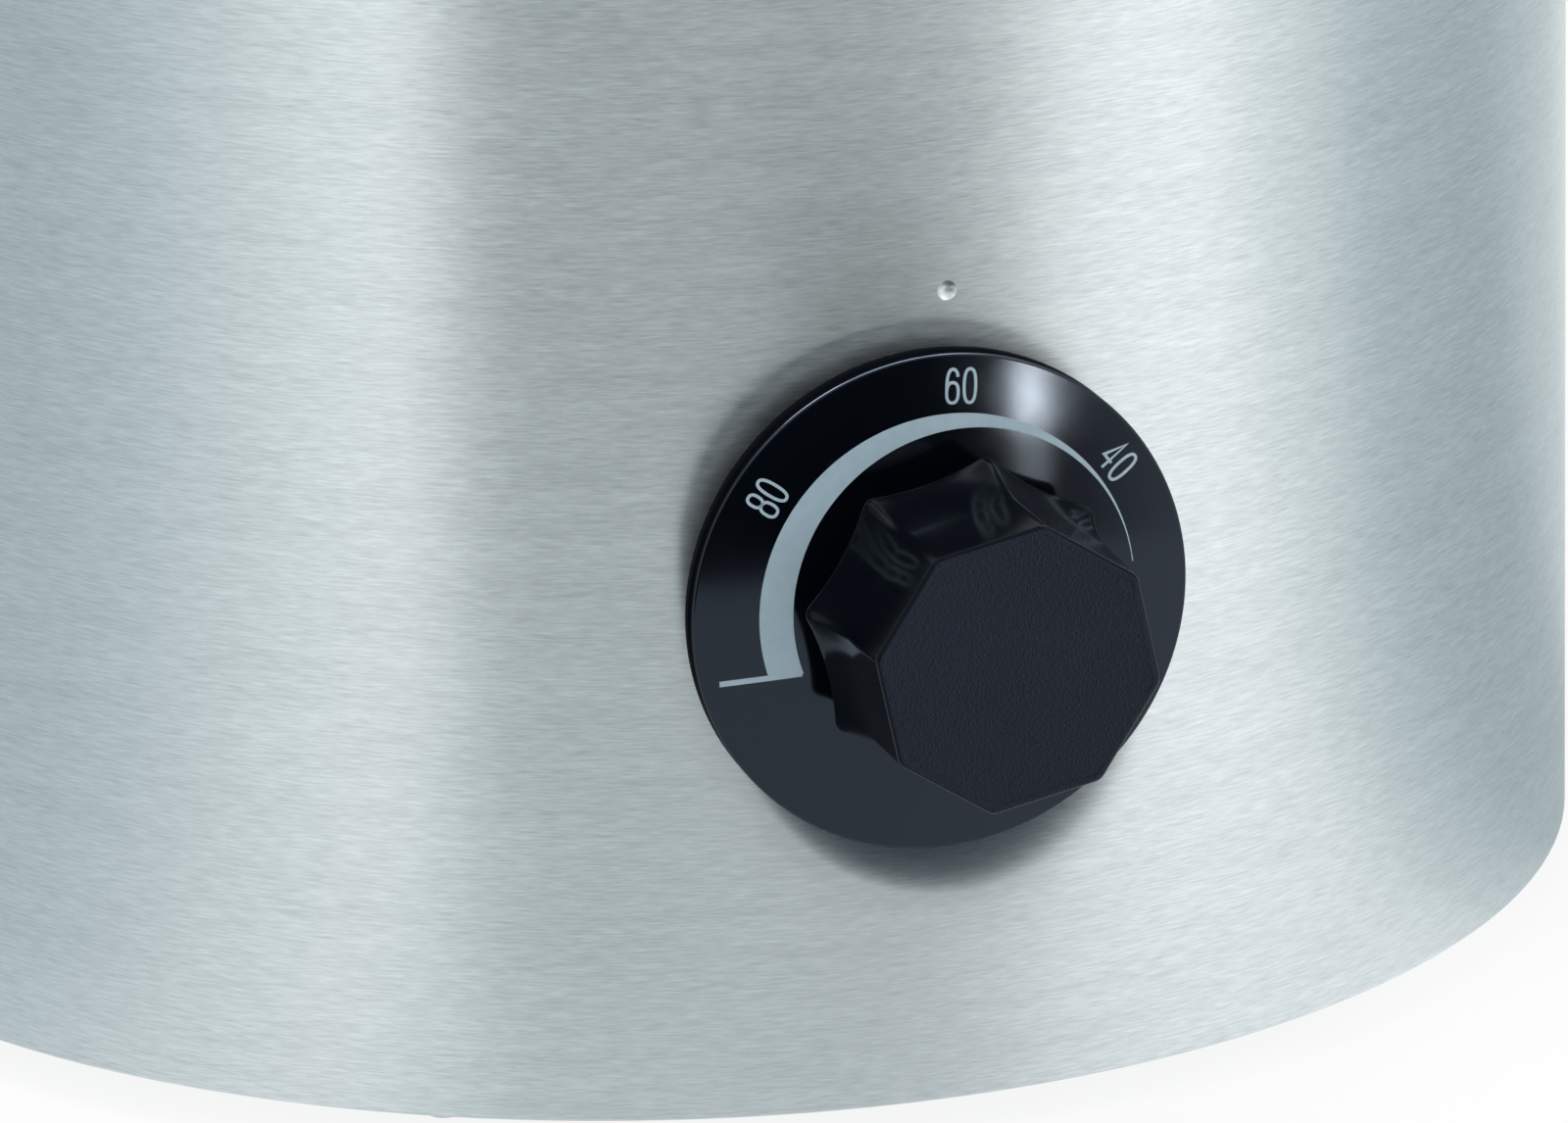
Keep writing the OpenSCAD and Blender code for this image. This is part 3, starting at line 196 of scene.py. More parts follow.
def studio_card(name, start, end, inner, outer, low, high, strength, tones=None, dark_low=None, fade=None,
                colour=(1, 1, 1)):
    """A curved card that only reflections see: a clear one with a glow, or one toned by azimuth."""
    steps = 96 if tones else 12
    points = []
    for i in range(steps + 1):
        angle = math.radians(start + (end - start) * i / steps)
        points.append((inner * math.cos(angle), inner * math.sin(angle), low))
        points.append((outer * math.cos(angle), outer * math.sin(angle), high))
    card = new_object(name, points, [(2 * i, 2 * i + 1, 2 * i + 3, 2 * i + 2) for i in range(steps)])
    paint = bpy.data.materials.new(name)
    paint.use_nodes = True
    tree = paint.node_tree
    glow = add_node(tree, "ShaderNodeEmission")
    glow.inputs["Color"].default_value = (*colour, 1)
    glow.inputs["Strength"].default_value = strength
    if tones:
        height, (plain, darker) = by_azimuth(tree, tones, dark_low)
        rise = add_node(tree, "ShaderNodeMapRange", interpolation_type="SMOOTHSTEP")
        rise.inputs["From Min"].default_value = fade[0]
        rise.inputs["From Max"].default_value = fade[1]
        tree.links.new(height, rise.inputs["Value"])
        blend = add_node(tree, "ShaderNodeMix", data_type="RGBA")
        below, above = colour_sockets(blend.inputs)
        tree.links.new(rise.outputs[0], blend.inputs[0])
        tree.links.new(darker, below)
        tree.links.new(plain, above)
        tree.links.new(colour_sockets(blend.outputs)[0], glow.inputs["Color"])
    else:
        clear = add_node(tree, "ShaderNodeBsdfTransparent")
        both = add_node(tree, "ShaderNodeAddShader")
        tree.links.new(glow.outputs[0], both.inputs[0])
        tree.links.new(clear.outputs[0], both.inputs[1])
        glow = both
    tree.links.new(glow.outputs[0], tree.nodes["Material Output"].inputs["Surface"])
    card.data.materials.append(paint)
    card.visible_camera = False
    card.visible_diffuse = False
    card.visible_shadow = False
    card.visible_transmission = False
    return card


wall_radius = 0.40
wall_height = 0.62
wall_fade = (0.09, 0.17)
wall_tones = [(-180, 0.66), (-160, 0.95), (-145, 0.95), (-125, 0.71), (-100, 0.55), (-85, 0.53),
              (-74, 0.60), (-62, 0.74), (-51, 0.89), (-41, 0.93), (-31, 0.74), (-20, 0.75),
              (-10, 0.78), (0, 0.80), (15, 0.87), (31, 1.02), (45, 1.09), (57, 0.89),
              (72, 0.60), (92, 0.53), (111, 0.66), (130, 0.95), (150, 0.89), (180, 0.66)]
dark_level = 0.015
dark_start, dark_end = -34, 27
apron_inner = 0.10
apron_height = 0.0008
apron_fade = (1.0, 2.0)
apron_least = 0.16
apron_drop = 0.14
drop_start, drop_end = 50, 100
strip_start, strip_end = 16.3, 18.3
strip_radius = 0.39
strip_foot, strip_split, strip_top = 0.030, 0.056, 0.084
strip_cream = (1.0, 0.94, 0.84)
window_low, window_high = 0.30, 0.46
window_inner, window_outer = 0.39, 0.37


def behind_camera(azimuth, level):
    """The low part of the wall is nearly black between the two bright windows in front."""
    return dark_level if dark_start < azimuth < dark_end else level


def floor_tone(azimuth, level):
    """The floor in front of the wall picks up part of the wall's level, and less of it on the right."""
    drop = apron_drop if drop_start < azimuth < drop_end else 0
    return apron_least + (1 - apron_least) * level - drop


studio_card("studio_wall", -180, 180, wall_radius, wall_radius, 0, wall_height, 1.0,
            wall_tones, behind_camera, wall_fade)
studio_card("grey_apron", -180, 180, apron_inner, wall_radius, apron_height, apron_height, 1.0,
            wall_tones, floor_tone, apron_fade)
knob_strips = [studio_card(name, strip_start, strip_end, strip_radius, strip_radius, low, high, strength,
                           colour=strip_cream)
               for name, low, high, strength in (("bright_strip", strip_split, strip_top, 30),
                                                 ("dim_strip", strip_foot, strip_split, 4))]
edge_strip = studio_card("edge_strip", -120, 60, inner=0.15, outer=0.39, low=0.66, high=0.60, strength=14)
studio_card("right_window", 40, 54, window_inner, window_outer, window_low, window_high, strength=4)
studio_card("left_window", -52, -38, window_inner, window_outer, window_low, window_high, strength=3)
lamp_aim = Vector((0, 0, 0.15))


def soft_lamp(name, azimuth, elevation, distance, width, height, power):
    """A soft lamp aimed at the body, hidden from the camera and from reflections."""
    data = bpy.data.lights.new(name, "AREA")
    data.shape = "RECTANGLE"
    data.size = width
    data.size_y = height
    data.energy = power
    lamp = bpy.data.objects.new(name, data)
    scene.collection.objects.link(lamp)
    flat = math.cos(math.radians(elevation))
    lamp.location = lamp_aim + distance * Vector((flat * math.cos(math.radians(azimuth)),
                                                  flat * math.sin(math.radians(azimuth)),
                                                  math.sin(math.radians(elevation))))
    lamp.rotation_euler = (lamp_aim - lamp.location).to_track_quat("-Z", "Y").to_euler()
    lamp.visible_camera = False
    lamp.visible_glossy = False


soft_lamp("left_lamp", azimuth=-52, elevation=38, distance=1.7, width=0.5, height=1.0, power=9)
soft_lamp("right_lamp", azimuth=54, elevation=30, distance=1.7, width=0.5, height=1.0, power=11)
soft_lamp("top_lamp", azimuth=-45, elevation=72, distance=1.7, width=0.9, height=0.9, power=12)
soft_lamp("back_lamp", azimuth=175, elevation=40, distance=2.2, width=1.0, height=1.0, power=12)

# The outer shell
# A sheet of stainless steel rolled into a tube, brushed round and round, with its lower edge turned in.
# A small round bowl pressed above the knob is the pointer that the dial is read against.
shell_low, shell_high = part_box("outer_shell")
shell_radius = shell_high.x
shell_sheet = 0.8 * mm
shell_corner = 0.4 * mm
shell_flange = 10 * mm
shell_top_edge = 0.2 * mm
shell_skin = 0.02 * mm
shell_columns = 240
mark_depth = 0.5 * mm
mark_radius = 1.25 * mm
mark_height = 110.2 * mm
mark_aside = 3.0 * mm


def bend(centre_r, centre_z, radius, start, end, steps=6):
    """Points of a round corner in an outline, with angles in degrees from the radius to the height."""
    points = []
    for i in range(steps + 1):
        angle = math.radians(start + (end - start) * i / steps)
        points.append((centre_r + radius * math.cos(angle), centre_z + radius * math.sin(angle)))
    return points


def turned(name, outline, columns=96, place=None):
    """A closed solid turned about the z axis from an outline of radii and heights, then put in place."""
    tiny = 1e-7
    on_axis = [radius < tiny for radius, height in outline]
    points = []
    rows = []
    for (radius, height), pole in zip(outline, on_axis):
        count = 1 if pole else columns
        rows.append(range(len(points), len(points) + count))
        for i in range(count):
            angle = 2 * math.pi * i / columns
            points.append((radius * math.cos(angle), radius * math.sin(angle), height))
    pairs = list(zip(rows, rows[1:]))
    if not any(on_axis):
        pairs.append((rows[-1], rows[0]))
    faces = []
    for low, high in pairs:
        for i in range(columns):
            j = (i + 1) % columns
            ring = [low[i % len(low)], low[j % len(low)], high[j % len(high)], high[i % len(high)]]
            face = list(dict.fromkeys(ring))
            if len(face) > 2:
                faces.append(tuple(face))
    obj = new_object(name, points, faces)
    shape = bmesh.new()
    shape.from_mesh(obj.data)
    bmesh.ops.remove_doubles(shape, verts=shape.verts, dist=1e-8)
    bmesh.ops.recalc_face_normals(shape, faces=shape.faces)
    shape.to_mesh(obj.data)
    shape.free()
    if place is not None:
        obj.data.transform(place)
    return obj


def make_plain(obj):
    """Turns an object with its modifiers into a plain mesh."""
    depsgraph = bpy.context.evaluated_depsgraph_get()
    mesh = bpy.data.meshes.new_from_object(obj.evaluated_get(depsgraph), preserve_all_data_layers=True,
                                           depsgraph=depsgraph)
    old = obj.data
    obj.modifiers.clear()
    obj.data = mesh
    bpy.data.meshes.remove(old)
    mesh.name = obj.name


def join_solid(obj, tool, how="DIFFERENCE"):
    """Cuts a tool out of a solid, or unites the two, and removes the tool."""
    step = obj.modifiers.new("join", "BOOLEAN")
    step.operation = how
    step.solver = "EXACT"
    step.object = tool
    make_plain(obj)
    bpy.data.objects.remove(tool)


def smooth_out(obj, crisp=30):
    """Smooth shading with crisp edges where faces turn by more than an angle in degrees."""
    obj.data.shade_smooth()
    obj.data.set_sharp_from_angle(angle=math.radians(crisp))
    weigh = obj.modifiers.new("weigh", "WEIGHTED_NORMAL")
    weigh.weight = 50
    weigh.keep_sharp = True
    make_plain(obj)


def along(direction, point):
    """A place whose z axis points along a direction from a point."""
    return Matrix.Translation(point) @ Vector(direction).to_track_quat("Z", "Y").to_matrix().to_4x4()


shell_outline = [
    (shell_radius - shell_sheet, shell_high.z),
    (shell_radius - shell_top_edge, shell_high.z),
    (shell_radius, shell_high.z - shell_top_edge),
    *bend(shell_radius - shell_corner, shell_low.z + shell_corner, shell_corner, 0, -90),
    (shell_radius - shell_flange, shell_low.z),
    (shell_radius - shell_flange, shell_low.z + shell_sheet),
    (shell_radius - shell_sheet, shell_low.z + shell_sheet),
]
outer_shell = turned("outer_shell_skin", shell_outline, shell_columns)
mark_reach = math.sqrt(shell_radius ** 2 - mark_aside ** 2)
mark_place = along((mark_reach, mark_aside, 0), (mark_reach, mark_aside, mark_height))
mark_bowl = (mark_radius ** 2 + mark_depth ** 2) / (2 * mark_depth)
mark_tool = turned("mark_tool", [(0, -mark_depth), *bend(0, mark_bowl - mark_depth, mark_bowl, -86, 0, 18),
                                 (0, mark_bowl - mark_depth)], 48, mark_place)
join_solid(outer_shell, mark_tool)
smooth_out(outer_shell, 14)


def round_normals(obj, radius):
    """Sets true radial normals on the wall of a round tube, so that its columns never show."""
    level_most = 0.01
    square_least = 0.9998
    mesh = obj.data
    normals = [corner.vector.copy() for corner in mesh.corner_normals]
    for face in mesh.polygons:
        flat = Vector((face.normal.x, face.normal.y))
        middle = Vector((face.center.x, face.center.y))
        if abs(face.normal.z) > level_most or flat.dot(middle) < square_least * middle.length:
            continue
        for loop in face.loop_indices:
            point = mesh.vertices[mesh.loops[loop].vertex_index].co
            reach = math.hypot(point.x, point.y)
            if reach > radius - shell_skin:
                normals[loop] = Vector((point.x / reach, point.y / reach, 0))
    mesh.normals_split_custom_set(normals)


round_normals(outer_shell, shell_radius)


def new_finish(name, colour, roughness, metallic=0.0):
    """A material with its Principled shader, colour, roughness and metal share."""
    material = bpy.data.materials.new(name)
    material.use_nodes = True
    shader = material.node_tree.nodes["Principled BSDF"]
    shader.inputs["Base Color"].default_value = (*colour, 1)
    shader.inputs["Roughness"].default_value = roughness
    shader.inputs["Metallic"].default_value = metallic
    return material, material.node_tree, shader


def new_effect(name, inputs, outputs):
    """An empty shader node group with named number sockets, and its two end nodes."""
    group = bpy.data.node_groups.new(name, "ShaderNodeTree")
    for title, value in inputs:
        socket = group.interface.new_socket(title, in_out="INPUT", socket_type="NodeSocketFloat")
        socket.default_value = value
    for title in outputs:
        group.interface.new_socket(title, in_out="OUTPUT", socket_type="NodeSocketFloat")
    return group, group.nodes.new("NodeGroupInput"), group.nodes.new("NodeGroupOutput")


def math_step(tree, operation, first, second):
    """A step of arithmetic on two values, each a socket or a plain number."""
    node = add_node(tree, "ShaderNodeMath", operation=operation)
    for socket, value in zip(node.inputs, (first, second)):
        if isinstance(value, (int, float)):
            socket.default_value = value
        else:
            tree.links.new(value, socket)
    return node.outputs[0]


def weighed_sum(tree, first, first_share, second, second_share):
    """Two values added, each by its share."""
    return math_step(tree, "ADD", math_step(tree, "MULTIPLY", first, first_share),
                     math_step(tree, "MULTIPLY", second, second_share))


def noise_step(tree, vector, detail, roughness, scale=1.0):
    """A noise value over a vector."""
    node = add_node(tree, "ShaderNodeTexNoise")
    node.inputs["Detail"].default_value = detail
    node.inputs["Roughness"].default_value = roughness
    if isinstance(scale, (int, float)):
        node.inputs["Scale"].default_value = scale
    else:
        tree.links.new(scale, node.inputs["Scale"])
    tree.links.new(vector, node.inputs["Vector"])
    return node.outputs["Fac"]


def make_brush_lines():
    """Fine lines that run round the z axis, as a brush or a lathe leaves them."""
    tree, start, end = new_effect("brush_lines", [("Lines", 4000.0), ("Streak", 16.0)], ["Line", "Band"])
    place = add_node(tree, "ShaderNodeTexCoord").outputs["Object"]
    parts = add_node(tree, "ShaderNodeSeparateXYZ")
    tree.links.new(place, parts.inputs[0])
    flat = add_node(tree, "ShaderNodeCombineXYZ")
    tree.links.new(parts.outputs["X"], flat.inputs["X"])
    tree.links.new(parts.outputs["Y"], flat.inputs["Y"])
    reach = add_node(tree, "ShaderNodeVectorMath", operation="LENGTH")
    tree.links.new(flat.outputs[0], reach.inputs[0])
    heading = add_node(tree, "ShaderNodeVectorMath", operation="NORMALIZE")
    tree.links.new(flat.outputs[0], heading.inputs[0])
    way = math_step(tree, "ADD", reach.outputs["Value"], parts.outputs["Z"])
    outputs = []
    for spread, detail in ((1.0, 3.0), (0.11, 2.0)):
        around = add_node(tree, "ShaderNodeVectorMath", operation="SCALE")
        tree.links.new(heading.outputs[0], around.inputs[0])
        tree.links.new(math_step(tree, "MULTIPLY", start.outputs["Streak"], spread), around.inputs["Scale"])
        across = add_node(tree, "ShaderNodeCombineXYZ")
        lines = math_step(tree, "MULTIPLY", start.outputs["Lines"], spread)
        tree.links.new(math_step(tree, "MULTIPLY", way, lines), across.inputs["Z"])
        spot = add_node(tree, "ShaderNodeVectorMath", operation="ADD")
        tree.links.new(around.outputs[0], spot.inputs[0])
        tree.links.new(across.outputs[0], spot.inputs[1])
        outputs.append(noise_step(tree, spot.outputs[0], detail, 0.6))
    tree.links.new(outputs[0], end.inputs["Line"])
    tree.links.new(outputs[1], end.inputs["Band"])
    return tree


def make_soft_clouds():
    """Slow changes over a surface, as handling and drying leave them."""
    tree, start, end = new_effect("soft_clouds", [("Scale", 30.0)], ["Cloud"])
    place = add_node(tree, "ShaderNodeTexCoord").outputs["Object"]
    tree.links.new(noise_step(tree, place, 3.0, 0.55, start.outputs["Scale"]), end.inputs["Cloud"])
    return tree


brush_lines = make_brush_lines()
soft_clouds = make_soft_clouds()


def place_effect(tree, group, **values):
    """An effect placed in a material with its own values."""
    node = add_node(tree, "ShaderNodeGroup", node_tree=group)
    for name, value in values.items():
        node.inputs[name].default_value = value
    return node


def ranged(tree, value, low, high):
    """A value of about 0.3 to 0.7 spread over a range."""
    node = add_node(tree, "ShaderNodeMapRange")
    node.inputs["From Min"].default_value = 0.3
    node.inputs["From Max"].default_value = 0.7
    node.inputs["To Min"].default_value = low
    node.inputs["To Max"].default_value = high
    tree.links.new(value, node.inputs["Value"])
    return node.outputs["Result"]


def two_tones(tree, value, dark, light):
    """A colour between two tones."""
    node = add_node(tree, "ShaderNodeMix", data_type="RGBA")
    for socket, tone in zip(colour_sockets(node.inputs), (dark, light)):
        socket.default_value = (*tone, 1)
    tree.links.new(value, node.inputs[0])
    return colour_sockets(node.outputs)[0]


def colour_between(tree, shader, value, dark, light):
    """A shader's colour between two tones by a value."""
    tree.links.new(two_tones(tree, value, dark, light), shader.inputs["Base Color"])


def shine_between(tree, shader, value, smooth, rough):
    """A shader's roughness between two limits by a value."""
    tree.links.new(ranged(tree, value, smooth, rough), shader.inputs["Roughness"])


def bump_from(tree, shader, height, depth, strength=1.0):
    """A bump of a real depth in metres on a shader's normal."""
    node = add_node(tree, "ShaderNodeBump")
    node.inputs["Distance"].default_value = depth
    node.inputs["Strength"].default_value = strength
    tree.links.new(height, node.inputs["Height"])
    tree.links.new(node.outputs["Normal"], shader.inputs["Normal"])


brush_depth = 0.008 * mm
shine_play = 0.05


def make_brushed_steel(name, dark, light, rough, lines, streak, spread):
    """Brushed stainless steel: lines round the axis, and a shine that spreads across them."""
    material, tree, shader = new_finish(name, light, rough, 1.0)
    brush = place_effect(tree, brush_lines, Lines=lines, Streak=streak)
    cloud = place_effect(tree, soft_clouds, Scale=14.0)
    both = weighed_sum(tree, brush.outputs["Line"], 0.78, brush.outputs["Band"], 0.22)
    colour_between(tree, shader, ranged(tree, both, 0, 1), dark, light)
    worn = weighed_sum(tree, both, 0.6, cloud.outputs["Cloud"], 0.4)
    shine_between(tree, shader, worn, rough - shine_play, rough + shine_play)
    bump_from(tree, shader, brush.outputs["Line"], brush_depth, 0.6)
    shader.inputs["Anisotropic"].default_value = spread
    shader.inputs["Anisotropic Rotation"].default_value = 0.25
    grain = add_node(tree, "ShaderNodeTangent", direction_type="RADIAL", axis="Z")
    tree.links.new(grain.outputs[0], shader.inputs["Tangent"])
    return material


shell_steel = make_brushed_steel("brushed_shell_steel", (0.585, 0.645, 0.66), (0.845, 0.915, 0.925),
                                 0.36, 4200.0, 38.0, 0.88)
outer_shell.data.materials.append(shell_steel)
cut_steel = make_brushed_steel("cut_mark_steel", (0.70, 0.74, 0.75), (0.84, 0.87, 0.88),
                               0.42, 9000.0, 4.0, 0.0)
outer_shell.data.materials.append(cut_steel)
mark_middle = mark_place.translation
for face in outer_shell.data.polygons:
    near = (face.center - mark_middle).length < 2 * mark_radius
    sunk = face.center.xy.length < shell_radius - shell_skin
    if near and sunk and face.normal.xy.dot(face.center.xy) > 0:
        face.material_index = 1
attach(outer_shell, "body")
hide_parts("outer_shell")

# The base plate
# A pressed disc of zinc coated sheet with a ring of vent holes, closed against the shell's turned in edge.
# The brackets, the heat shield and the clips inside are pressed from the same sheet.


def dress(material, *nodes):
    """Gives a finish to solids that keep their own shape."""
    for node in nodes:
        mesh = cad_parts[node].data
        mesh.materials.clear()
        mesh.materials.append(material)


def make_zinc_sheet():
    """Zinc coated sheet: pale crystals a few millimetres wide and slightly uneven shine."""
    material, tree, shader = new_finish("zinc_sheet", (0.62, 0.64, 0.66), 0.42, 1.0)
    place = add_node(tree, "ShaderNodeTexCoord").outputs["Object"]
    crystals = add_node(tree, "ShaderNodeTexVoronoi")
    crystals.inputs["Scale"].default_value = 210.0
    tree.links.new(place, crystals.inputs["Vector"])
    shade = add_node(tree, "ShaderNodeSeparateColor")
    tree.links.new(crystals.outputs["Color"], shade.inputs[0])
    cloud = place_effect(tree, soft_clouds, Scale=40.0)
    mixed = weighed_sum(tree, shade.outputs[0], 0.4, cloud.outputs["Cloud"], 0.6)
    colour_between(tree, shader, mixed, (0.50, 0.52, 0.54), (0.74, 0.76, 0.78))
    shine_between(tree, shader, mixed, 0.30, 0.52)
    return material


zinc_sheet = make_zinc_sheet()
dress(zinc_sheet, "base_plate", "heat_shield", "thermostat_bracket", "bulb_clip", "clamp_bridge",
      "knob_clip", "tap_spacer")

# The base screws
# Six pan head screws with a crossed slot hold the plate and the shell's edge together from below.
# Zinc plated steel; every other screw, nut and stud has the same finish.
base_screw_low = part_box("base_screws")[0]
base_screw_ring = 114.3 * mm
base_screw_count = 6
base_screw_turn = 30
screw_head = 2.7 * mm
screw_head_height = 1.5 * mm
slot_length = 3.0 * mm
slot_width = 0.6 * mm
slot_depth = 0.9 * mm


def make_ring_tree():
    """A ring of like pieces about the z axis, each turned to look outwards."""
    tree = bpy.data.node_groups.new("ring_of_pieces", "GeometryNodeTree")
    kinds = [("Geometry", "NodeSocketGeometry"), ("Piece", "NodeSocketObject"), ("Count", "NodeSocketInt"),
             ("Ring Radius", "NodeSocketFloat"), ("First Angle", "NodeSocketFloat"),
             ("Finish", "NodeSocketMaterial")]
    for title, kind in kinds:
        tree.interface.new_socket(title, in_out="INPUT", socket_type=kind)
    tree.interface.new_socket("Geometry", in_out="OUTPUT", socket_type="NodeSocketGeometry")
    start = tree.nodes.new("NodeGroupInput")
    end = tree.nodes.new("NodeGroupOutput")
    circle = tree.nodes.new("GeometryNodeMeshCircle")
    tree.links.new(start.outputs["Count"], circle.inputs["Vertices"])
    tree.links.new(start.outputs["Ring Radius"], circle.inputs["Radius"])
    piece = tree.nodes.new("GeometryNodeObjectInfo")
    tree.links.new(start.outputs["Piece"], piece.inputs["Object"])
    piece.inputs["As Instance"].default_value = True
    spot = tree.nodes.new("ShaderNodeSeparateXYZ")
    tree.links.new(tree.nodes.new("GeometryNodeInputPosition").outputs[0], spot.inputs[0])
    outward = tree.nodes.new("ShaderNodeCombineXYZ")
    heading = math_step(tree, "ARCTAN2", spot.outputs["Y"], spot.outputs["X"])
    tree.links.new(heading, outward.inputs["Z"])
    copies = tree.nodes.new("GeometryNodeInstanceOnPoints")
    tree.links.new(circle.outputs["Mesh"], copies.inputs["Points"])
    tree.links.new(piece.outputs["Geometry"], copies.inputs["Instance"])
    tree.links.new(outward.outputs[0], copies.inputs["Rotation"])
    first = tree.nodes.new("ShaderNodeCombineXYZ")
    tree.links.new(start.outputs["First Angle"], first.inputs["Z"])
    spin = tree.nodes.new("GeometryNodeTransform")
    tree.links.new(copies.outputs["Instances"], spin.inputs["Geometry"])
    tree.links.new(first.outputs[0], spin.inputs["Rotation"])
    real = tree.nodes.new("GeometryNodeRealizeInstances")
    tree.links.new(spin.outputs["Geometry"], real.inputs["Geometry"])
    coat = tree.nodes.new("GeometryNodeSetMaterial")
    tree.links.new(real.outputs["Geometry"], coat.inputs["Geometry"])
    tree.links.new(start.outputs["Finish"], coat.inputs["Material"])
    tree.links.new(coat.outputs["Geometry"], end.inputs["Geometry"])
    return tree


ring_tree = make_ring_tree()


def ring_of(name, piece, count, radius, first_angle, finish):
    """Makes a ring of copies of a piece as one plain mesh, and removes the pattern piece."""
    obj = new_object(name, [], [])
    step = obj.modifiers.new("ring", "NODES")
    step.node_group = ring_tree
    keys = {item.name: item.identifier for item in ring_tree.interface.items_tree if item.in_out == "INPUT"}
    step[keys["Piece"]] = piece
    step[keys["Count"]] = count
    step[keys["Ring Radius"]] = radius
    step[keys["First Angle"]] = math.radians(first_angle)
    step[keys["Finish"]] = finish
    make_plain(obj)
    bpy.data.objects.remove(piece)
    return obj


def block(name, low, high):
    """A plain box between two corners, for cutting or uniting."""
    points = [(x, y, z) for x in (low[0], high[0]) for y in (low[1], high[1]) for z in (low[2], high[2])]
    faces = [(0, 1, 3, 2), (4, 6, 7, 5), (0, 4, 5, 1), (2, 3, 7, 6), (0, 2, 6, 4), (1, 5, 7, 3)]
    return new_object(name, points, faces)


def make_clouded(name, colour, roughness, metallic, scale, tones, shine, patchy=False):
    """A finish whose tone and shine drift together in soft clouds, or in clearer patches."""
    material, tree, shader = new_finish(name, colour, roughness, metallic)
    cloud = place_effect(tree, soft_clouds, Scale=scale).outputs["Cloud"]
    colour_between(tree, shader, ranged(tree, cloud, 0, 1) if patchy else cloud, *tones)
    shine_between(tree, shader, cloud, *shine)
    return material


def pan_head(name, radius, height, slot):
    """A pan head with a crossed slot, its crown towards minus z from a seat at z 0, on a short shank."""
    edge = 0.45 * height
    shank = 0.55 * radius
    shank_end = 1.2 * height
    head = turned(name, [(0, -height), *bend(radius - edge, edge - height, edge, -90, 0, 4), (radius, 0),
                         (shank, 0), (shank, shank_end), (0, shank_end)], 32)
    length, width, depth = slot
    for across, down in ((length, width), (width, length)):
        join_solid(head, block("slot_tool", (-across / 2, -down / 2, -2 * height),
                               (across / 2, down / 2, depth - height)))
    smooth_out(head, 30)
    return head


zinc_fastener = make_clouded("zinc_fasteners", (0.66, 0.68, 0.70), 0.3, 1.0, 420.0,
                             ((0.52, 0.54, 0.57), (0.78, 0.80, 0.82)), (0.22, 0.40))
base_screw_head = pan_head("base_screw_head", screw_head, screw_head_height,
                           (slot_length, slot_width, slot_depth))
base_screws = ring_of("base_screw_heads", base_screw_head, base_screw_count, base_screw_ring,
                      base_screw_turn, zinc_fastener)
base_screws.data.transform(Matrix.Translation((0, 0, base_screw_low.z + screw_head_height)))
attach(base_screws, "body")
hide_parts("base_screws")
dress(zinc_fastener, "foot_screws", "foot_nuts", "stud_nuts", "cutout_screws", "bracket_screws",
      "thermostat_screws", "block_screws", "lid_screw", "handle_screws", "thermostat_spindle")

# The feet
# Four black rubber feet, moulded with a slight taper and a well for the screw that holds each one.
# The rubber is dull, and a little paler where the moulding has rubbed.
feet_low, feet_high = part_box("rubber_feet")
foot_count = 4
foot_turn = 45
foot_ring = 85 * mm
foot_top = 11 * mm
foot_bottom = 10 * mm
foot_height = feet_high.z - feet_low.z
foot_well = 4.6 * mm
foot_well_depth = 3.4 * mm
foot_edge = 0.9 * mm
foot_top_edge = 0.4 * mm


def make_moulded_grain():
    """The fine pebbled skin that a textured mould leaves."""
    tree, start, end = new_effect("moulded_grain", [("Grain", 2600.0)], ["Height", "Fleck"])
    place = add_node(tree, "ShaderNodeTexCoord").outputs["Object"]
    cells = add_node(tree, "ShaderNodeTexVoronoi", feature="SMOOTH_F1")
    tree.links.new(place, cells.inputs["Vector"])
    tree.links.new(start.outputs["Grain"], cells.inputs["Scale"])
    fleck = noise_step(tree, place, 2.0, 0.5, start.outputs["Grain"])
    tree.links.new(weighed_sum(tree, cells.outputs["Distance"], 0.6, fleck, 0.6), end.inputs["Height"])
    tree.links.new(fleck, end.inputs["Fleck"])
    return tree


moulded_grain = make_moulded_grain()


def make_moulded(name, dark, light, smooth, rough, grain, depth):
    """A moulded plastic or rubber with a fine grain and slow changes in its shine."""
    material, tree, shader = new_finish(name, dark, rough)
    skin = place_effect(tree, moulded_grain, Grain=grain)
    cloud = place_effect(tree, soft_clouds, Scale=55.0)
    mixed = weighed_sum(tree, skin.outputs["Fleck"], 0.5, cloud.outputs["Cloud"], 0.5)
    colour_between(tree, shader, ranged(tree, mixed, 0, 1), dark, light)
    shine_between(tree, shader, mixed, smooth, rough)
    bump_from(tree, shader, skin.outputs["Height"], depth)
    return material


black_rubber = make_moulded("black_rubber", (0.012, 0.013, 0.014), (0.030, 0.031, 0.033), 0.55, 0.75,
                            1500.0, 0.02 * mm)
foot_pattern = turned("foot_pattern", [
    (0, foot_well_depth), (foot_well, foot_well_depth), (foot_well, foot_edge),
    *bend(foot_well + foot_edge, foot_edge, foot_edge, 180, 270, 4),
    *bend(foot_bottom - foot_edge, foot_edge, foot_edge, -90, 0, 5),
    *bend(foot_top - foot_top_edge, foot_height - foot_top_edge, foot_top_edge, 0, 90, 3),
    (0, foot_height)], 48)
smooth_out(foot_pattern, 35)
feet = ring_of("moulded_feet", foot_pattern, foot_count, foot_ring, foot_turn, black_rubber)
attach(feet, "body")
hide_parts("rubber_feet")

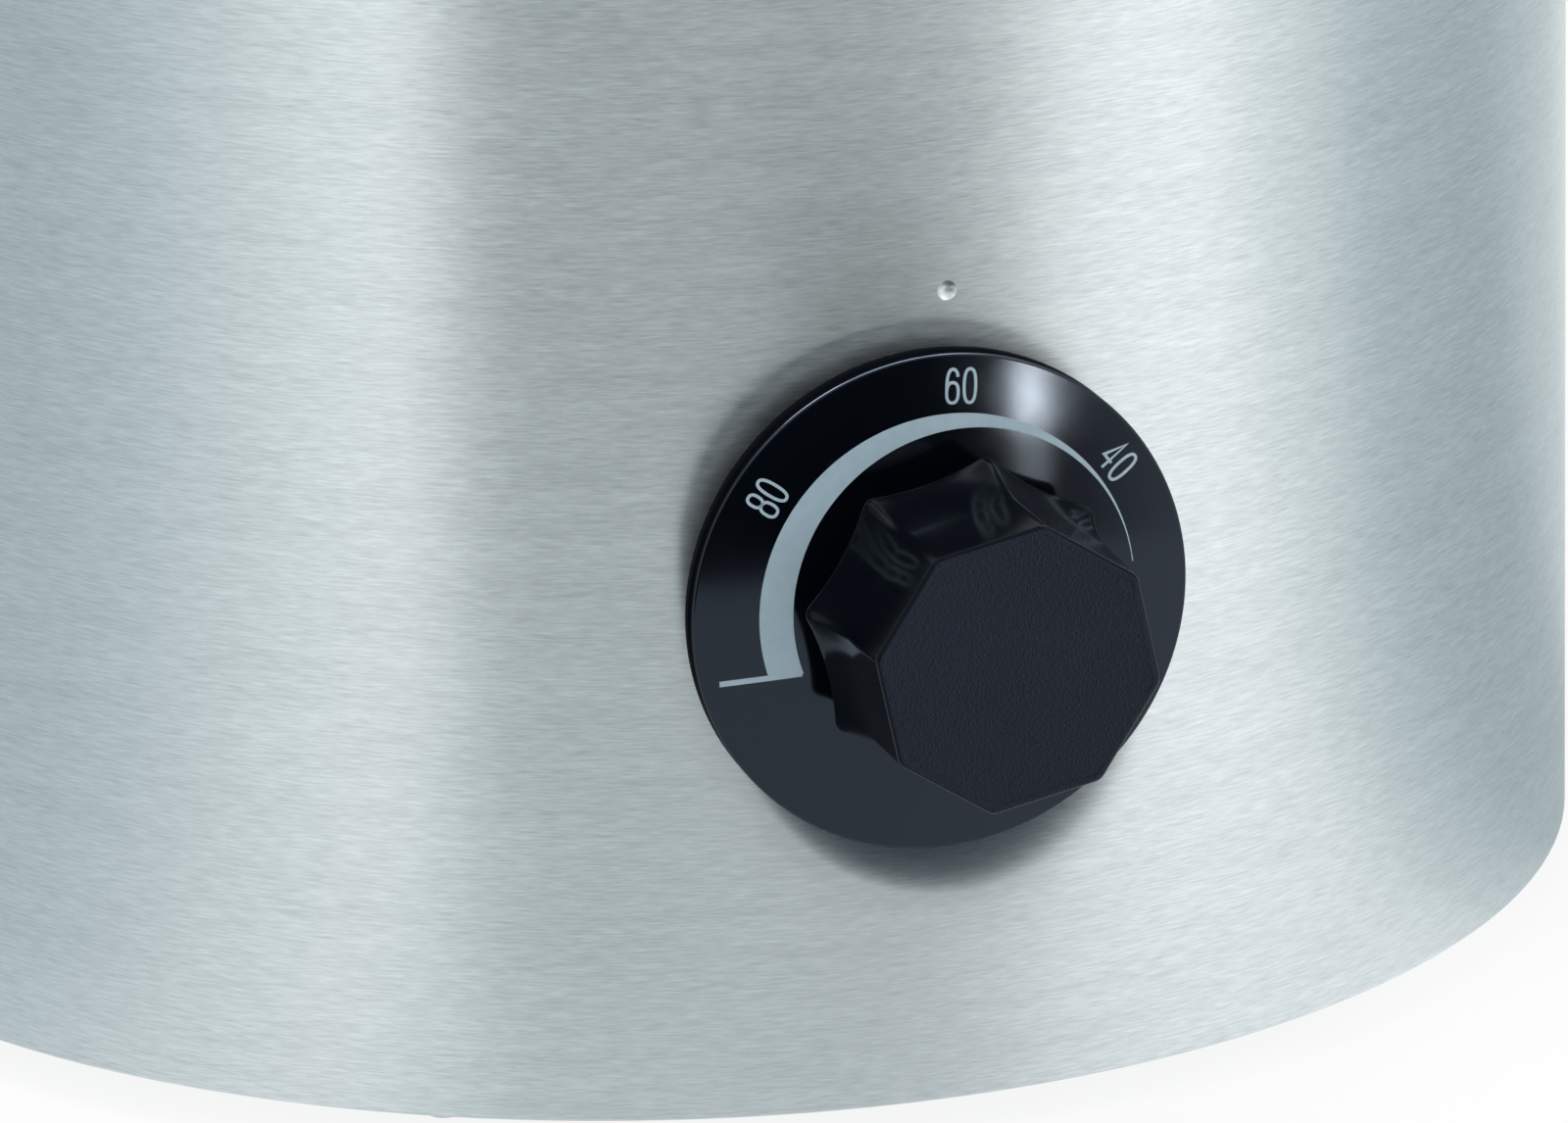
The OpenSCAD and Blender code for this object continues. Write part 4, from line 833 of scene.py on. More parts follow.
# The inner vessel
# A deep drawn stainless steel pot that holds the drink; its rim is turned out and down over the shell.
# The inside is spun smooth, and a stud welded under its floor carries the heater.
vessel_low, vessel_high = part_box("inner_vessel")
vessel_lip = vessel_high.x
vessel_radius = 108 * mm
vessel_sheet = 1.0 * mm
vessel_corner = 10 * mm
vessel_floor = 128 * mm
vessel_lip_height = 8 * mm
lip_round = 1.6 * mm
vessel_stud = 4 * mm
stud_chamfer = 0.5 * mm
mouth_round = 1.2 * mm
vessel_inside = vessel_radius - vessel_sheet
rim_under = vessel_high.z - vessel_sheet
inner_vessel = turned("drawn_vessel", [
    (0, vessel_low.z), (vessel_stud - stud_chamfer, vessel_low.z),
    (vessel_stud, vessel_low.z + stud_chamfer),
    (vessel_stud, vessel_floor),
    *bend(vessel_radius - vessel_corner, vessel_floor + vessel_corner, vessel_corner, -90, 0, 10),
    (vessel_radius, rim_under),
    *bend(vessel_lip - lip_round, vessel_high.z - lip_round, lip_round - vessel_sheet, 90, 0, 4),
    (vessel_lip - vessel_sheet, vessel_high.z - vessel_lip_height),
    (vessel_lip, vessel_high.z - vessel_lip_height),
    *bend(vessel_lip - lip_round, vessel_high.z - lip_round, lip_round, 0, 90, 8),
    *bend(vessel_inside + mouth_round, vessel_high.z - mouth_round, mouth_round, 90, 180, 6),
    *bend(vessel_radius - vessel_corner, vessel_floor + vessel_corner,
          vessel_corner - vessel_sheet, 0, -90, 10),
    (0, vessel_floor + vessel_sheet)], shell_columns)
smooth_out(inner_vessel, 30)
spun_steel = make_brushed_steel("spun_vessel_steel", (0.68, 0.70, 0.72), (0.80, 0.82, 0.835),
                                0.30, 2600.0, 5.0, 0.75)
inner_vessel.data.materials.append(spun_steel)
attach(inner_vessel, "body")
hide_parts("inner_vessel")

# The seals and the jacket
# A silicone ring cushions the rim, two more close the tap's hole, and a soft seat closes its valve.
# A sleeve of pale mineral fibre keeps the heat in between vessel and shell.
white_silicone = make_moulded("white_silicone", (0.55, 0.54, 0.51), (0.68, 0.67, 0.64), 0.42, 0.60,
                              900.0, 0.01 * mm)
dress(white_silicone, "rim_seal", "tap_outer_seal", "tap_inner_seal", "valve_plug")


def make_fibre():
    """Mineral fibre felt: tangled threads in a pale straw grey."""
    material, tree, shader = new_finish("mineral_fibre", (0.60, 0.58, 0.52), 0.95)
    place = add_node(tree, "ShaderNodeTexCoord").outputs["Object"]
    threads = add_node(tree, "ShaderNodeTexNoise", noise_type="RIDGED_MULTIFRACTAL")
    threads.inputs["Scale"].default_value = 420.0
    threads.inputs["Detail"].default_value = 4.0
    threads.inputs["Distortion"].default_value = 1.4
    tree.links.new(place, threads.inputs["Vector"])
    cloud = place_effect(tree, soft_clouds, Scale=60.0)
    mixed = weighed_sum(tree, threads.outputs["Fac"], 0.4, cloud.outputs["Cloud"], 0.6)
    colour_between(tree, shader, mixed, (0.42, 0.40, 0.34), (0.72, 0.70, 0.64))
    bump_from(tree, shader, threads.outputs["Fac"], 0.4 * mm, 0.7)
    return material


dress(make_fibre(), "insulation_sleeve")

# The heater
# A cast aluminium plate is clamped under the vessel with a sheathed ring element pressed against it.
# The element's sheath is nickel steel browned by heat; the overheat cut-out beside it is white ceramic.


def make_cast_aluminium():
    """Cast aluminium: bright grey with a fine sandy skin."""
    material, tree, shader = new_finish("cast_aluminium", (0.70, 0.71, 0.72), 0.45, 1.0)
    skin = place_effect(tree, moulded_grain, Grain=900.0)
    cloud = place_effect(tree, soft_clouds, Scale=70.0)
    colour_between(tree, shader, cloud.outputs["Cloud"], (0.55, 0.56, 0.57), (0.80, 0.81, 0.82))
    shine_between(tree, shader, skin.outputs["Fleck"], 0.36, 0.58)
    bump_from(tree, shader, skin.outputs["Height"], 0.05 * mm)
    return material


dress(make_cast_aluminium(), "heat_plate")
element_sheath = make_clouded("element_sheath", (0.30, 0.28, 0.26), 0.45, 1.0, 48.0,
                              ((0.20, 0.19, 0.21), (0.40, 0.35, 0.29)), (0.34, 0.55), patchy=True)
dress(element_sheath, "heating_element")
white_ceramic = make_moulded("white_ceramic", (0.66, 0.64, 0.60), (0.76, 0.75, 0.72), 0.35, 0.55,
                             700.0, 0.01 * mm)
dress(white_ceramic, "overheat_cutout", "thermostat_body", "terminal_block")

# The thermostat's line
# A thin copper capillary runs from the thermostat to a copper bulb clipped under the vessel.
# Bare copper with brown patches, darkened a little by air and by the hand that bent it.
drawn_copper = make_clouded("drawn_copper", (0.72, 0.38, 0.24), 0.32, 1.0, 90.0,
                            ((0.45, 0.22, 0.13), (0.80, 0.45, 0.30)), (0.24, 0.44), patchy=True)
dress(drawn_copper, "capillary_tube", "sensor_bulb")

# The temperature knob
# A black moulding pushed onto the thermostat's spindle: a slightly domed dial with an eight sided grip.
# The grip's corners flare at its foot, which stands on a low round boss.
# The dial and the grip's sides are glossy, and the grip's front has a fine leathery grain.
knob_low, knob_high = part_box("control_knob")
knob_middle = (knob_low.z + knob_high.z) / 2
dial_radius = (knob_high.z - knob_low.z) / 2
dial_rim = 3.5 * mm
dial_edge = 0.4 * mm
dial_draft = 0.05 * mm
dial_outer_slope = math.tan(math.radians(7.5))
dial_inner_slope = math.tan(math.radians(4.0))
dial_inner = 17 * mm
grip_length = knob_high.x - knob_low.x
grip_front = 18.2 * mm
grip_draft = 0.012
grip_flare = 1.9 * mm
grip_hollow = 0.38
grip_twist = 2.5
grip_flare_top = 21.5 * mm
grip_seat = 11.2 * mm
boss_radius = 15.5 * mm
boss_top = 10.3 * mm
boss_sunk = 0.1 * mm
grip_first_corner = -11
grip_corner_round = 1.8 * mm
grain_corner_round = 1.5 * mm
grip_front_depth = 0.5 * mm
grip_seat_edge = 0.4 * mm
grip_front_edge = 0.6 * mm
grip_grain_inset = 0.55 * mm
grip_grain_drop = 0.02 * mm
knob_place = Matrix(((0, 0, 1, knob_low.x), (1, 0, 0, 0), (0, 1, 0, knob_middle), (0, 0, 0, 1)))
grip_aside = (0.6 * mm, 0.25 * mm)


def dial_height(radius):
    """How far the domed dial stands above its back at a radius."""
    outer = dial_radius - dial_edge
    inward = outer - radius
    bowing = (dial_inner_slope - dial_outer_slope) / (outer - dial_inner)
    return dial_rim + dial_outer_slope * inward + bowing * inward ** 2 / 2


def octagon_ring(corner_radius, rounding, height, hollow=0.0, per_corner=7, per_side=7):
    """The points of an eight sided ring with round corners and hollow sides, seen from the front."""
    half = math.pi / 8
    flat_reach = corner_radius * math.cos(half)
    centre = (flat_reach - rounding) / math.cos(half)
    twist = grip_twist * (grip_length - height) / (grip_length - grip_seat)
    points = []
    for corner in range(8):
        heading = math.radians(grip_first_corner + twist + 45 * corner)
        for i in range(per_corner):
            angle = heading - half + 2 * half * i / (per_corner - 1)
            points.append((grip_aside[0] + centre * math.cos(heading) + rounding * math.cos(angle),
                           grip_aside[1] + centre * math.sin(heading) + rounding * math.sin(angle), height))
        for i in range(1, per_side + 1):
            share = 2 * i / (per_side + 1) - 1
            reach = flat_reach - hollow * (1 - share ** 2)
            slide = centre * math.sin(half) * share
            side = heading + half
            points.append((grip_aside[0] + reach * math.cos(side) - slide * math.sin(side),
                           grip_aside[1] + reach * math.sin(side) + slide * math.cos(side), height))
    return points


def grip_flare_at(height):
    """How far the grip's corners flare out at a height, growing towards its foot."""
    share = max(0.0, (grip_flare_top - height) / (grip_flare_top - grip_seat))
    return grip_flare * share ** 2


def grip_ring(height, inset=0.0):
    """The grip's outline at a height, with a slight draft and a flare that is strongest at the corners."""
    flare = grip_flare_at(height)
    corner = grip_front + grip_draft * (grip_length - height) + flare - inset
    return octagon_ring(corner, grip_corner_round, height, grip_hollow * flare)


def make_grip():
    """The grip: a round boss on the dial, then eight flared sides up to the grained front face."""
    boss_corner = boss_radius / math.cos(math.pi / 8)
    rings = [octagon_ring(boss_corner, boss_radius, dial_height(boss_radius) - boss_sunk),
             octagon_ring(boss_corner, boss_radius, boss_top)]
    for i in range(4):
        angle = math.pi / 2 * i / 3
        height = grip_seat - grip_seat_edge * math.cos(angle)
        rings.append(grip_ring(height, grip_seat_edge * (1 - math.sin(angle))))
    flare_steps = 9
    for i in range(1, flare_steps + 1):
        height = grip_seat + (grip_flare_top - grip_seat) * i / flare_steps
        rings.append(grip_ring(height))
    for i in range(5):
        angle = math.pi / 2 * i / 4
        height = grip_length - grip_front_edge * (1 - math.sin(angle))
        rings.append(grip_ring(height, grip_front_edge * (1 - math.cos(angle))))
    for inset, drop in ((grip_grain_inset, 0), (grip_grain_inset + grip_grain_drop, grip_grain_drop)):
        corner = grip_front - grip_front_edge - inset
        rings.append(octagon_ring(corner, grain_corner_round, grip_length - drop))
    count = len(rings[0])
    points = [point for ring in rings for point in ring]
    faces = [tuple(reversed(range(count)))]
    for row in range(len(rings) - 1):
        for i in range(count):
            j = (i + 1) % count
            faces.append((row * count + i, row * count + j, (row + 1) * count + j, (row + 1) * count + i))
    faces.append(tuple(range((len(rings) - 1) * count, len(rings) * count)))
    obj = new_object("knob_grip", points, faces)
    shape = bmesh.new()
    shape.from_mesh(obj.data)
    bmesh.ops.remove_doubles(shape, verts=shape.verts, dist=1e-7)
    shape.to_mesh(obj.data)
    shape.free()
    return obj


dial_steps = 16
dial_outline = [(0, 0), *bend(dial_radius - dial_edge - dial_draft, dial_edge, dial_edge, -90, 0, 4),
                *bend(dial_radius - dial_edge, dial_rim - dial_edge, dial_edge, 0, 88, 6)]
for i in range(dial_steps + 1):
    radius = dial_radius - dial_edge + (dial_inner - dial_radius + dial_edge) * i / dial_steps
    dial_outline.append((radius, dial_height(radius)))
dial_outline.append((0, dial_height(dial_inner)))
knob = turned("knob_dial", dial_outline, 240)
smooth_out(knob, 40)
grip = make_grip()
smooth_out(grip, 50)
mould_depth = 0.0012 * mm


def make_gloss_black(name, smooth, rough):
    """Polished black plastic: a deep cool black with a faint unevenness from the mould."""
    material = make_clouded(name, (0.0008, 0.0015, 0.003), rough, 0.0, 90.0,
                            ((0.0006, 0.0011, 0.0024), (0.0011, 0.0019, 0.0038)), (smooth, rough))
    tree = material.node_tree
    fleck = place_effect(tree, moulded_grain, Grain=1800.0)
    bump_from(tree, tree.nodes["Principled BSDF"], fleck.outputs["Fleck"], mould_depth, 0.5)
    return material


def set_reflection(material, level, tint):
    """Sets how strongly a finish reflects and in what tint."""
    shader = material.node_tree.nodes["Principled BSDF"]
    shader.inputs["Specular IOR Level"].default_value = level
    shader.inputs["Specular Tint"].default_value = (*tint, 1)


dial_black = make_gloss_black("dial_black", 0.09, 0.14)
side_black = make_gloss_black("grip_side_black", 0.10, 0.16)
boss_black = make_moulded("boss_black", (0.0006, 0.0011, 0.0022), (0.0012, 0.002, 0.004), 0.5, 0.7,
                          1800.0, 0.01 * mm)
grained_black = make_moulded("grained_black", (0.001, 0.003, 0.008), (0.004, 0.007, 0.015), 0.34, 0.50,
                             3300.0, 0.20 * mm)
cool_tint = (0.72, 0.84, 1.0)
set_reflection(dial_black, 0.58, (0.64, 0.78, 1.0))
set_reflection(side_black, 0.15, cool_tint)
set_reflection(boss_black, 0.02, (1, 1, 1))
set_reflection(grained_black, 0.3, cool_tint)
rim_steepness = 0.35
front_levelness = 0.97
knob.data.materials.append(dial_black)
knob.data.materials.append(boss_black)
for face in knob.data.polygons:
    if face.normal.z < rim_steepness:
        face.material_index = 1
grip.data.materials.append(side_black)
grip.data.materials.append(grained_black)
grip.data.materials.append(boss_black)
for face in grip.data.polygons:
    if face.center.z < grip_seat - grip_seat_edge:
        face.material_index = 2
    if face.normal.z > front_levelness and face.center.z > grip_length - grip_front_depth:
        face.material_index = 1
knob_only = bpy.data.collections.new("knob_only")
dial_only = bpy.data.collections.new("dial_only")
dial_only.objects.link(knob)
edge_strip.light_linking.receiver_collection = dial_only
for strip in knob_strips:
    strip.light_linking.receiver_collection = knob_only
for piece in (knob, grip):
    knob_only.objects.link(piece)
    piece.data.transform(knob_place)
    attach(piece, "knob")
    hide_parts("control_knob")

# Two small black flags that only reflections see paint shade into the steel: a painted dark band above the
# dial and a painted soft shadow below it.
painted_shade_places = [("dial_flag", 4.6 * mm, -8.6 * mm), ("rim_flag", -0.6 * mm, 1.6 * mm)]
flag_stand = shell_radius + 3.0 * mm
flag_steps = 48
# A near black glow: the colour of the painted shade that the steel reflects.
painted_shade_paint = bpy.data.materials.new("flag_black")
painted_shade_paint.use_nodes = True
flag_tree = painted_shade_paint.node_tree
painted_shade_glow = add_node(flag_tree, "ShaderNodeEmission")
painted_shade_glow.inputs["Color"].default_value = (0.03, 0.04, 0.055, 1)
flag_tree.links.new(painted_shade_glow.outputs[0], flag_tree.nodes["Material Output"].inputs["Surface"])
# Each disc stands just off the shell behind the dial, seen only in reflections, as painted shade.
for name, aside, rise in painted_shade_places:
    flag_points = [(flag_stand, aside + dial_radius * math.cos(2 * math.pi * i / flag_steps),
                    knob_middle + rise + dial_radius * math.sin(2 * math.pi * i / flag_steps))
                   for i in range(flag_steps)]
    flag = new_object(name, flag_points, [tuple(range(flag_steps))])
    flag.data.materials.append(painted_shade_paint)
    for hidden_from in ("camera", "diffuse", "shadow", "transmission"):
        setattr(flag, "visible_" + hidden_from, False)

# The dial's print
# Pale blue grey ink, pad printed on the dial: three temperatures, a tapering band and a line at its end.
# The numbers are thin upright strokes that stand along the rim, each one towards the middle of the knob.
print_lift = 0.035 * mm
print_film = 0.06 * mm
digit_height = 4.5 * mm
digit_width = 1.85 * mm
digit_step = 2.2 * mm
digit_stroke = 0.38 * mm
print_rows = [("80", 27.4 * mm, -55.0), ("60", 27.2 * mm, 4.8), ("40", 26.9 * mm, 55.0)]
band_outer = 23.9 * mm
band_inner = 21.75 * mm
band_shift = 2.03 * mm
band_turn = math.radians(85)
band_least = 0.02 * mm
band_first_clock = -110.5
band_last_clock = 84
line_start = (-18.75 * mm, -6.80 * mm)
line_end = (-28.90 * mm, -7.30 * mm)
line_width = 0.70 * mm
mitre_least = 0.45
mitre_most = 2.0


def oval(middle_x, middle_y, half_x, half_y, power=2.5, steps=28):
    """A closed loop, a little squarer than an ellipse."""
    points = []
    for i in range(steps):
        angle = 2 * math.pi * i / steps
        across = math.copysign(abs(math.cos(angle)) ** (2 / power), math.cos(angle))
        upward = math.copysign(abs(math.sin(angle)) ** (2 / power), math.sin(angle))
        points.append((middle_x + half_x * across, middle_y + half_y * upward))
    return points


digit_strokes = {
    "0": [(oval(0, 0, 0.5, 0.5), True)],
    "8": [(oval(0, -0.235, 0.5, 0.265), True), (oval(0, 0.265, 0.44, 0.235), True)],
    "6": [(oval(0, -0.20, 0.5, 0.30), True),
          ([(-0.5, -0.2), (-0.5, 0.05), (-0.47, 0.22), (-0.38, 0.37), (-0.22, 0.47), (0, 0.5),
            (0.22, 0.47), (0.38, 0.38), (0.45, 0.27)], False)],
    "4": [([(0.24, -0.5), (0.24, 0.5), (-0.5, -0.2), (0.52, -0.2)], False)],
}
print_points = []
print_faces = []


def on_dial(right, upward):
    """A printed point on the dial's surface."""
    right += grip_aside[0]
    upward += grip_aside[1]
    return knob_place @ Vector((right, upward, dial_height(math.hypot(right, upward)) + print_lift))


def ink_ribbon(path, closed, width, to_dial):
    """A stroke of even width along a path, laid on the dial."""
    first = len(print_points)
    count = len(path)
    for i, point in enumerate(path):
        before = path[i - 1] if closed or i > 0 else path[i]
        after = path[(i + 1) % count] if closed or i < count - 1 else path[i]
        way_in = (Vector(point) - Vector(before)).normalized()
        way_out = (Vector(after) - Vector(point)).normalized()
        way = (way_in + way_out).normalized()
        side = Vector((-way.y, way.x))
        lean = abs(side.dot(Vector((-way_out.y, way_out.x)))) if way_out.length else 1
        mitre = min(1 / max(mitre_least, lean), mitre_most)
        for sign in (1, -1):
            print_points.append(to_dial(Vector(point) + sign * side * width / 2 * mitre))
    for i in range(count if closed else count - 1):
        a = first + 2 * i
        b = first + 2 * ((i + 1) % count)
        print_faces.append((a, a + 1, b + 1, b))


for text, ring_radius, clock in print_rows:
    turn = math.radians(-clock)
    for position, digit in enumerate(text):
        offset = (position - (len(text) - 1) / 2) * digit_step

        def place_digit(point, offset=offset, turn=turn, ring_radius=ring_radius):
            """A point of a digit's stroke on the dial."""
            flat = Vector((point.x + offset, point.y + ring_radius))
            return on_dial(flat.x * math.cos(turn) - flat.y * math.sin(turn),
                           flat.x * math.sin(turn) + flat.y * math.cos(turn))

        for path, closed in digit_strokes[digit]:
            sized = [((digit_width - digit_stroke) * x, (digit_height - digit_stroke) * y) for x, y in path]
            ink_ribbon(sized, closed, digit_stroke, place_digit)

to_centre = Vector((band_shift * math.sin(band_turn), band_shift * math.cos(band_turn)))
band_steps = 150
band_first = len(print_points)
for i in range(band_steps + 1):
    clock = math.radians(band_first_clock + (band_last_clock - band_first_clock) * i / band_steps)
    way = Vector((math.sin(clock), math.cos(clock)))
    ahead_part = way.dot(to_centre)
    inner_reach = ahead_part + math.sqrt(ahead_part ** 2 - to_centre.length_squared + band_inner ** 2)
    inner_reach = min(inner_reach, band_outer - band_least)
    for reach in (band_outer, inner_reach):
        print_points.append(on_dial(way.x * reach, max(way.y * reach, line_start[1])))
for i in range(band_steps):
    a = band_first + 2 * i
    print_faces.append((a, a + 1, a + 3, a + 2))
line_steps = 14
line_path = [tuple(start + (end - start) * i / line_steps for start, end in zip(line_start, line_end))
             for i in range(line_steps + 1)]
ink_ribbon(line_path, False, line_width, lambda point: on_dial(point.x, point.y))
dial_print = new_object("dial_print", print_points, print_faces)
print_shape = bmesh.new()
print_shape.from_mesh(dial_print.data)
for face in print_shape.faces:
    face.normal_update()
    if face.normal.x < 0:
        face.normal_flip()
print_shape.to_mesh(dial_print.data)
print_shape.free()
film = dial_print.modifiers.new("film", "SOLIDIFY")
film.thickness = print_film
film.offset = -1
make_plain(dial_print)
dial_ink = make_clouded("dial_ink", (0.30, 0.40, 0.46), 0.4, 0.0, 700.0,
                        ((0.25, 0.345, 0.405), (0.32, 0.425, 0.49)), (0.30, 0.45))
dial_print.data.materials.append(dial_ink)
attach(dial_print, "knob")

# The wiring
# Insulated copper leads in the usual colours join the terminal block, thermostat, cut-out and element.
# The covering is soft plastic with a slight sheen; the earth stud is brass, a little dull.
wire_covers = [
    ("brown_cover", (0.10, 0.045, 0.020), (0.14, 0.065, 0.030),
     ("live_wire", "switched_wire", "heater_wire")),
    ("blue_cover", (0.02, 0.10, 0.34), (0.035, 0.14, 0.42), ("neutral_wire",)),
    ("green_cover", (0.07, 0.26, 0.05), (0.12, 0.34, 0.07), ("earth_wire",)),
]
for name, dark, light, wires in wire_covers:
    dress(make_moulded(name, dark, light, 0.38, 0.52, 1200.0, 0.006 * mm), *wires)
turned_brass = make_clouded("turned_brass", (0.72, 0.55, 0.25), 0.3, 1.0, 160.0,
                            ((0.58, 0.42, 0.18), (0.80, 0.63, 0.32)), (0.24, 0.40))
dress(turned_brass, "earth_stud")

# The cable gland
# A black nylon gland where the lead enters at the back: a hexagon against the shell and a ribbed cap.
# The cap screws down on the hexagon's thread, and a locknut holds both from inside.
cap_low, cap_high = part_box("gland_cap")
cap_middle = (cap_low + cap_high) / 2
cap_outward = Vector((cap_middle.x, cap_middle.y, 0)).normalized()
cap_radius = (cap_high.z - cap_low.z) / 2
cap_length = 12 * mm
cap_start = shell_radius + 4.05 * mm
cap_cone = 3 * mm
cap_mouth = 6 * mm
cap_bore = 4 * mm
cap_rib_count = 24
cap_rib_height = 0.55 * mm
cap_rib_width = 1.1 * mm
cap_drum = cap_radius - cap_rib_height
cap_chamfer = 0.4 * mm
cap_lip = 0.6 * mm
rib_start = 0.8 * mm
rib_end = cap_length - cap_cone - cap_chamfer
rib_crest_start = 1.3 * mm
rib_crest_end = rib_end - 0.6 * mm
gland_nylon = make_moulded("gland_nylon", (0.010, 0.011, 0.012), (0.024, 0.025, 0.027), 0.40, 0.58,
                           1600.0, 0.012 * mm)
gland_cap = turned("ribbed_cap", [
    (cap_bore, 0), (cap_drum - cap_chamfer, 0), (cap_drum, cap_chamfer), (cap_drum, cap_length - cap_cone),
    *bend(cap_mouth, cap_length - cap_lip, cap_lip, 40, 90, 3),
    *bend(cap_bore + cap_lip, cap_length - cap_lip, cap_lip, 90, 180, 4)], 72)
smooth_out(gland_cap, 35)
gland_cap.data.materials.append(gland_nylon)
rib_levels = [(-cap_rib_height, cap_rib_width / 2, rib_start, rib_end),
              (cap_rib_height, cap_rib_width / 4, rib_crest_start, rib_crest_end)]
rib_points = [(reach, side * half, height) for reach, half, first, last in rib_levels
              for side, height in ((-1, first), (1, first), (1, last), (-1, last))]
rib_faces = [(3, 2, 1, 0), (4, 5, 6, 7), (0, 1, 5, 4), (1, 2, 6, 5), (2, 3, 7, 6), (3, 0, 4, 7)]
rib_pattern = new_object("rib_pattern", rib_points, rib_faces)
cap_ribs = ring_of("cap_ribs", rib_pattern, cap_rib_count, cap_drum, 0, gland_nylon)
cap_place = along(cap_outward, cap_outward * cap_start + Vector((0, 0, cap_middle.z)))
for piece in (gland_cap, cap_ribs):
    piece.data.transform(cap_place)
    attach(piece, "body")
    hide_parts("gland_cap")
dress(gland_nylon, "cable_gland", "gland_locknut")

# The tap
# A cast brass tap, polished and chromed: a flange against the shell, a barrel and a tapering spout.
# Its bonnet carries the lever's pivot; a nut on the shank clamps it through shell and vessel.
tap_low, tap_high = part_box("tap_body")
tap_axis_y = -162 * mm
tap_inlet_z = 154 * mm
tap_flange_y = -124 * mm
tap_flange = 16.4 * mm
tap_neck = 9.5 * mm
tap_barrel = 13 * mm
tap_barrel_low = 142 * mm
tap_spout_low = 7.5 * mm
tap_spout_high = 9.4 * mm
tap_spout_bore = 5 * mm
tap_shank = 10.4 * mm
tap_bore_depth = 4 * mm
tap_bore_edge = 0.6 * mm
tap_spout_edge = 0.8 * mm
tap_spout_joint = 1 * mm
tap_barrel_round = 2 * mm
tap_barrel_edge = 0.6 * mm
tap_overlap = 2 * mm
tap_flange_side = 3 * mm
tap_flange_edge = 1 * mm
tap_fillet = 3 * mm
tap_fillet_end = 7 * mm
tap_voxel = 0.42 * mm
tap_rounds = 10
small_voxel = 0.36 * mm
small_rounds = 5


def cast_solid(body, parts, voxel, rounds):
    """Unites parts into one casting and rounds off its corners."""
    for part in parts:
        join_solid(body, part, "UNION")
    grid = body.modifiers.new("grid", "REMESH")
    grid.mode = "VOXEL"
    grid.voxel_size = voxel
    ease = body.modifiers.new("ease", "SMOOTH")
    ease.factor = 0.5
    ease.iterations = rounds
    make_plain(body)
    body.data.shade_smooth()


chrome = make_clouded("polished_chrome", (0.78, 0.80, 0.82), 0.08, 1.0, 120.0,
                      ((0.74, 0.76, 0.78), (0.82, 0.84, 0.86)), (0.05, 0.12))
tap_front = along((0, -1, 0), (0, 0, tap_inlet_z))
tap_body = turned("cast_tap", [
    (0, tap_low.z + tap_bore_depth), (tap_spout_bore, tap_low.z + tap_bore_depth),
    (tap_spout_bore, tap_low.z + tap_bore_edge),
    *bend(tap_spout_low - tap_spout_edge, tap_low.z + tap_spout_edge, tap_spout_edge, -90, 0, 4),
    (tap_spout_high, tap_barrel_low - tap_spout_joint), (tap_barrel - tap_barrel_round, tap_barrel_low),
    *bend(tap_barrel - tap_barrel_round, tap_barrel_low + tap_barrel_round, tap_barrel_round, -80, 0, 5),
    (tap_barrel, tap_high.z - tap_barrel_edge), (tap_barrel - tap_barrel_edge, tap_high.z),
    (0, tap_high.z)], 96, Matrix.Translation((0, tap_axis_y, 0)))
tap_neck_start = -tap_flange_y - tap_overlap
tap_neck_part = turned("tap_neck", [(0, tap_neck_start), (tap_neck, tap_neck_start),
                                    (tap_neck, -tap_axis_y), (0, -tap_axis_y)], 96, tap_front)
tap_flange_part = turned("tap_flange", [
    (0, -tap_high.y), (tap_shank, -tap_high.y), (tap_shank, -tap_flange_y), (tap_flange, -tap_flange_y),
    *bend(tap_flange - tap_flange_edge, tap_flange_side - tap_flange_y, tap_flange_edge, 0, 90, 4),
    *bend(tap_neck + tap_fillet, tap_fillet_end - tap_flange_y, tap_fillet, 270, 180, 6),
    (0, tap_fillet_end - tap_flange_y)], 96, tap_front)
cast_solid(tap_body, [tap_neck_part, tap_flange_part], tap_voxel, tap_rounds)
tap_body.data.materials.append(chrome)
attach(tap_body, "body")
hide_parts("tap_body")


def solid_copy(node, name):
    """A closed copy of a solid, with its doubled points merged."""
    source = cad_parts[node]
    mesh = source.data.copy()
    obj = bpy.data.objects.new(name, mesh)
    scene.collection.objects.link(obj)
    mesh.materials.clear()
    shape = bmesh.new()
    shape.from_mesh(mesh)
    bmesh.ops.remove_doubles(shape, verts=shape.verts, dist=1e-6)
    shape.to_mesh(mesh)
    shape.free()
    return obj


for node, name, body_name in (("tap_bonnet", "cast_bonnet", "body"), ("tap_lever", "cast_lever", "lever")):
    piece = solid_copy(node, name)
    cast_solid(piece, [], small_voxel, small_rounds)
    piece.data.materials.append(chrome)
    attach(piece, body_name)
    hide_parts(node)
dress(chrome, "tap_nut", "pivot_pin", "tap_stem", "stem_pin")
tap_spring = solid_copy("tap_spring", "wound_tap_spring")
smooth_out(tap_spring, 70)
tap_spring.data.materials.append(chrome)
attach(tap_spring, "body")
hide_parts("tap_spring")
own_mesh(tap_spring)

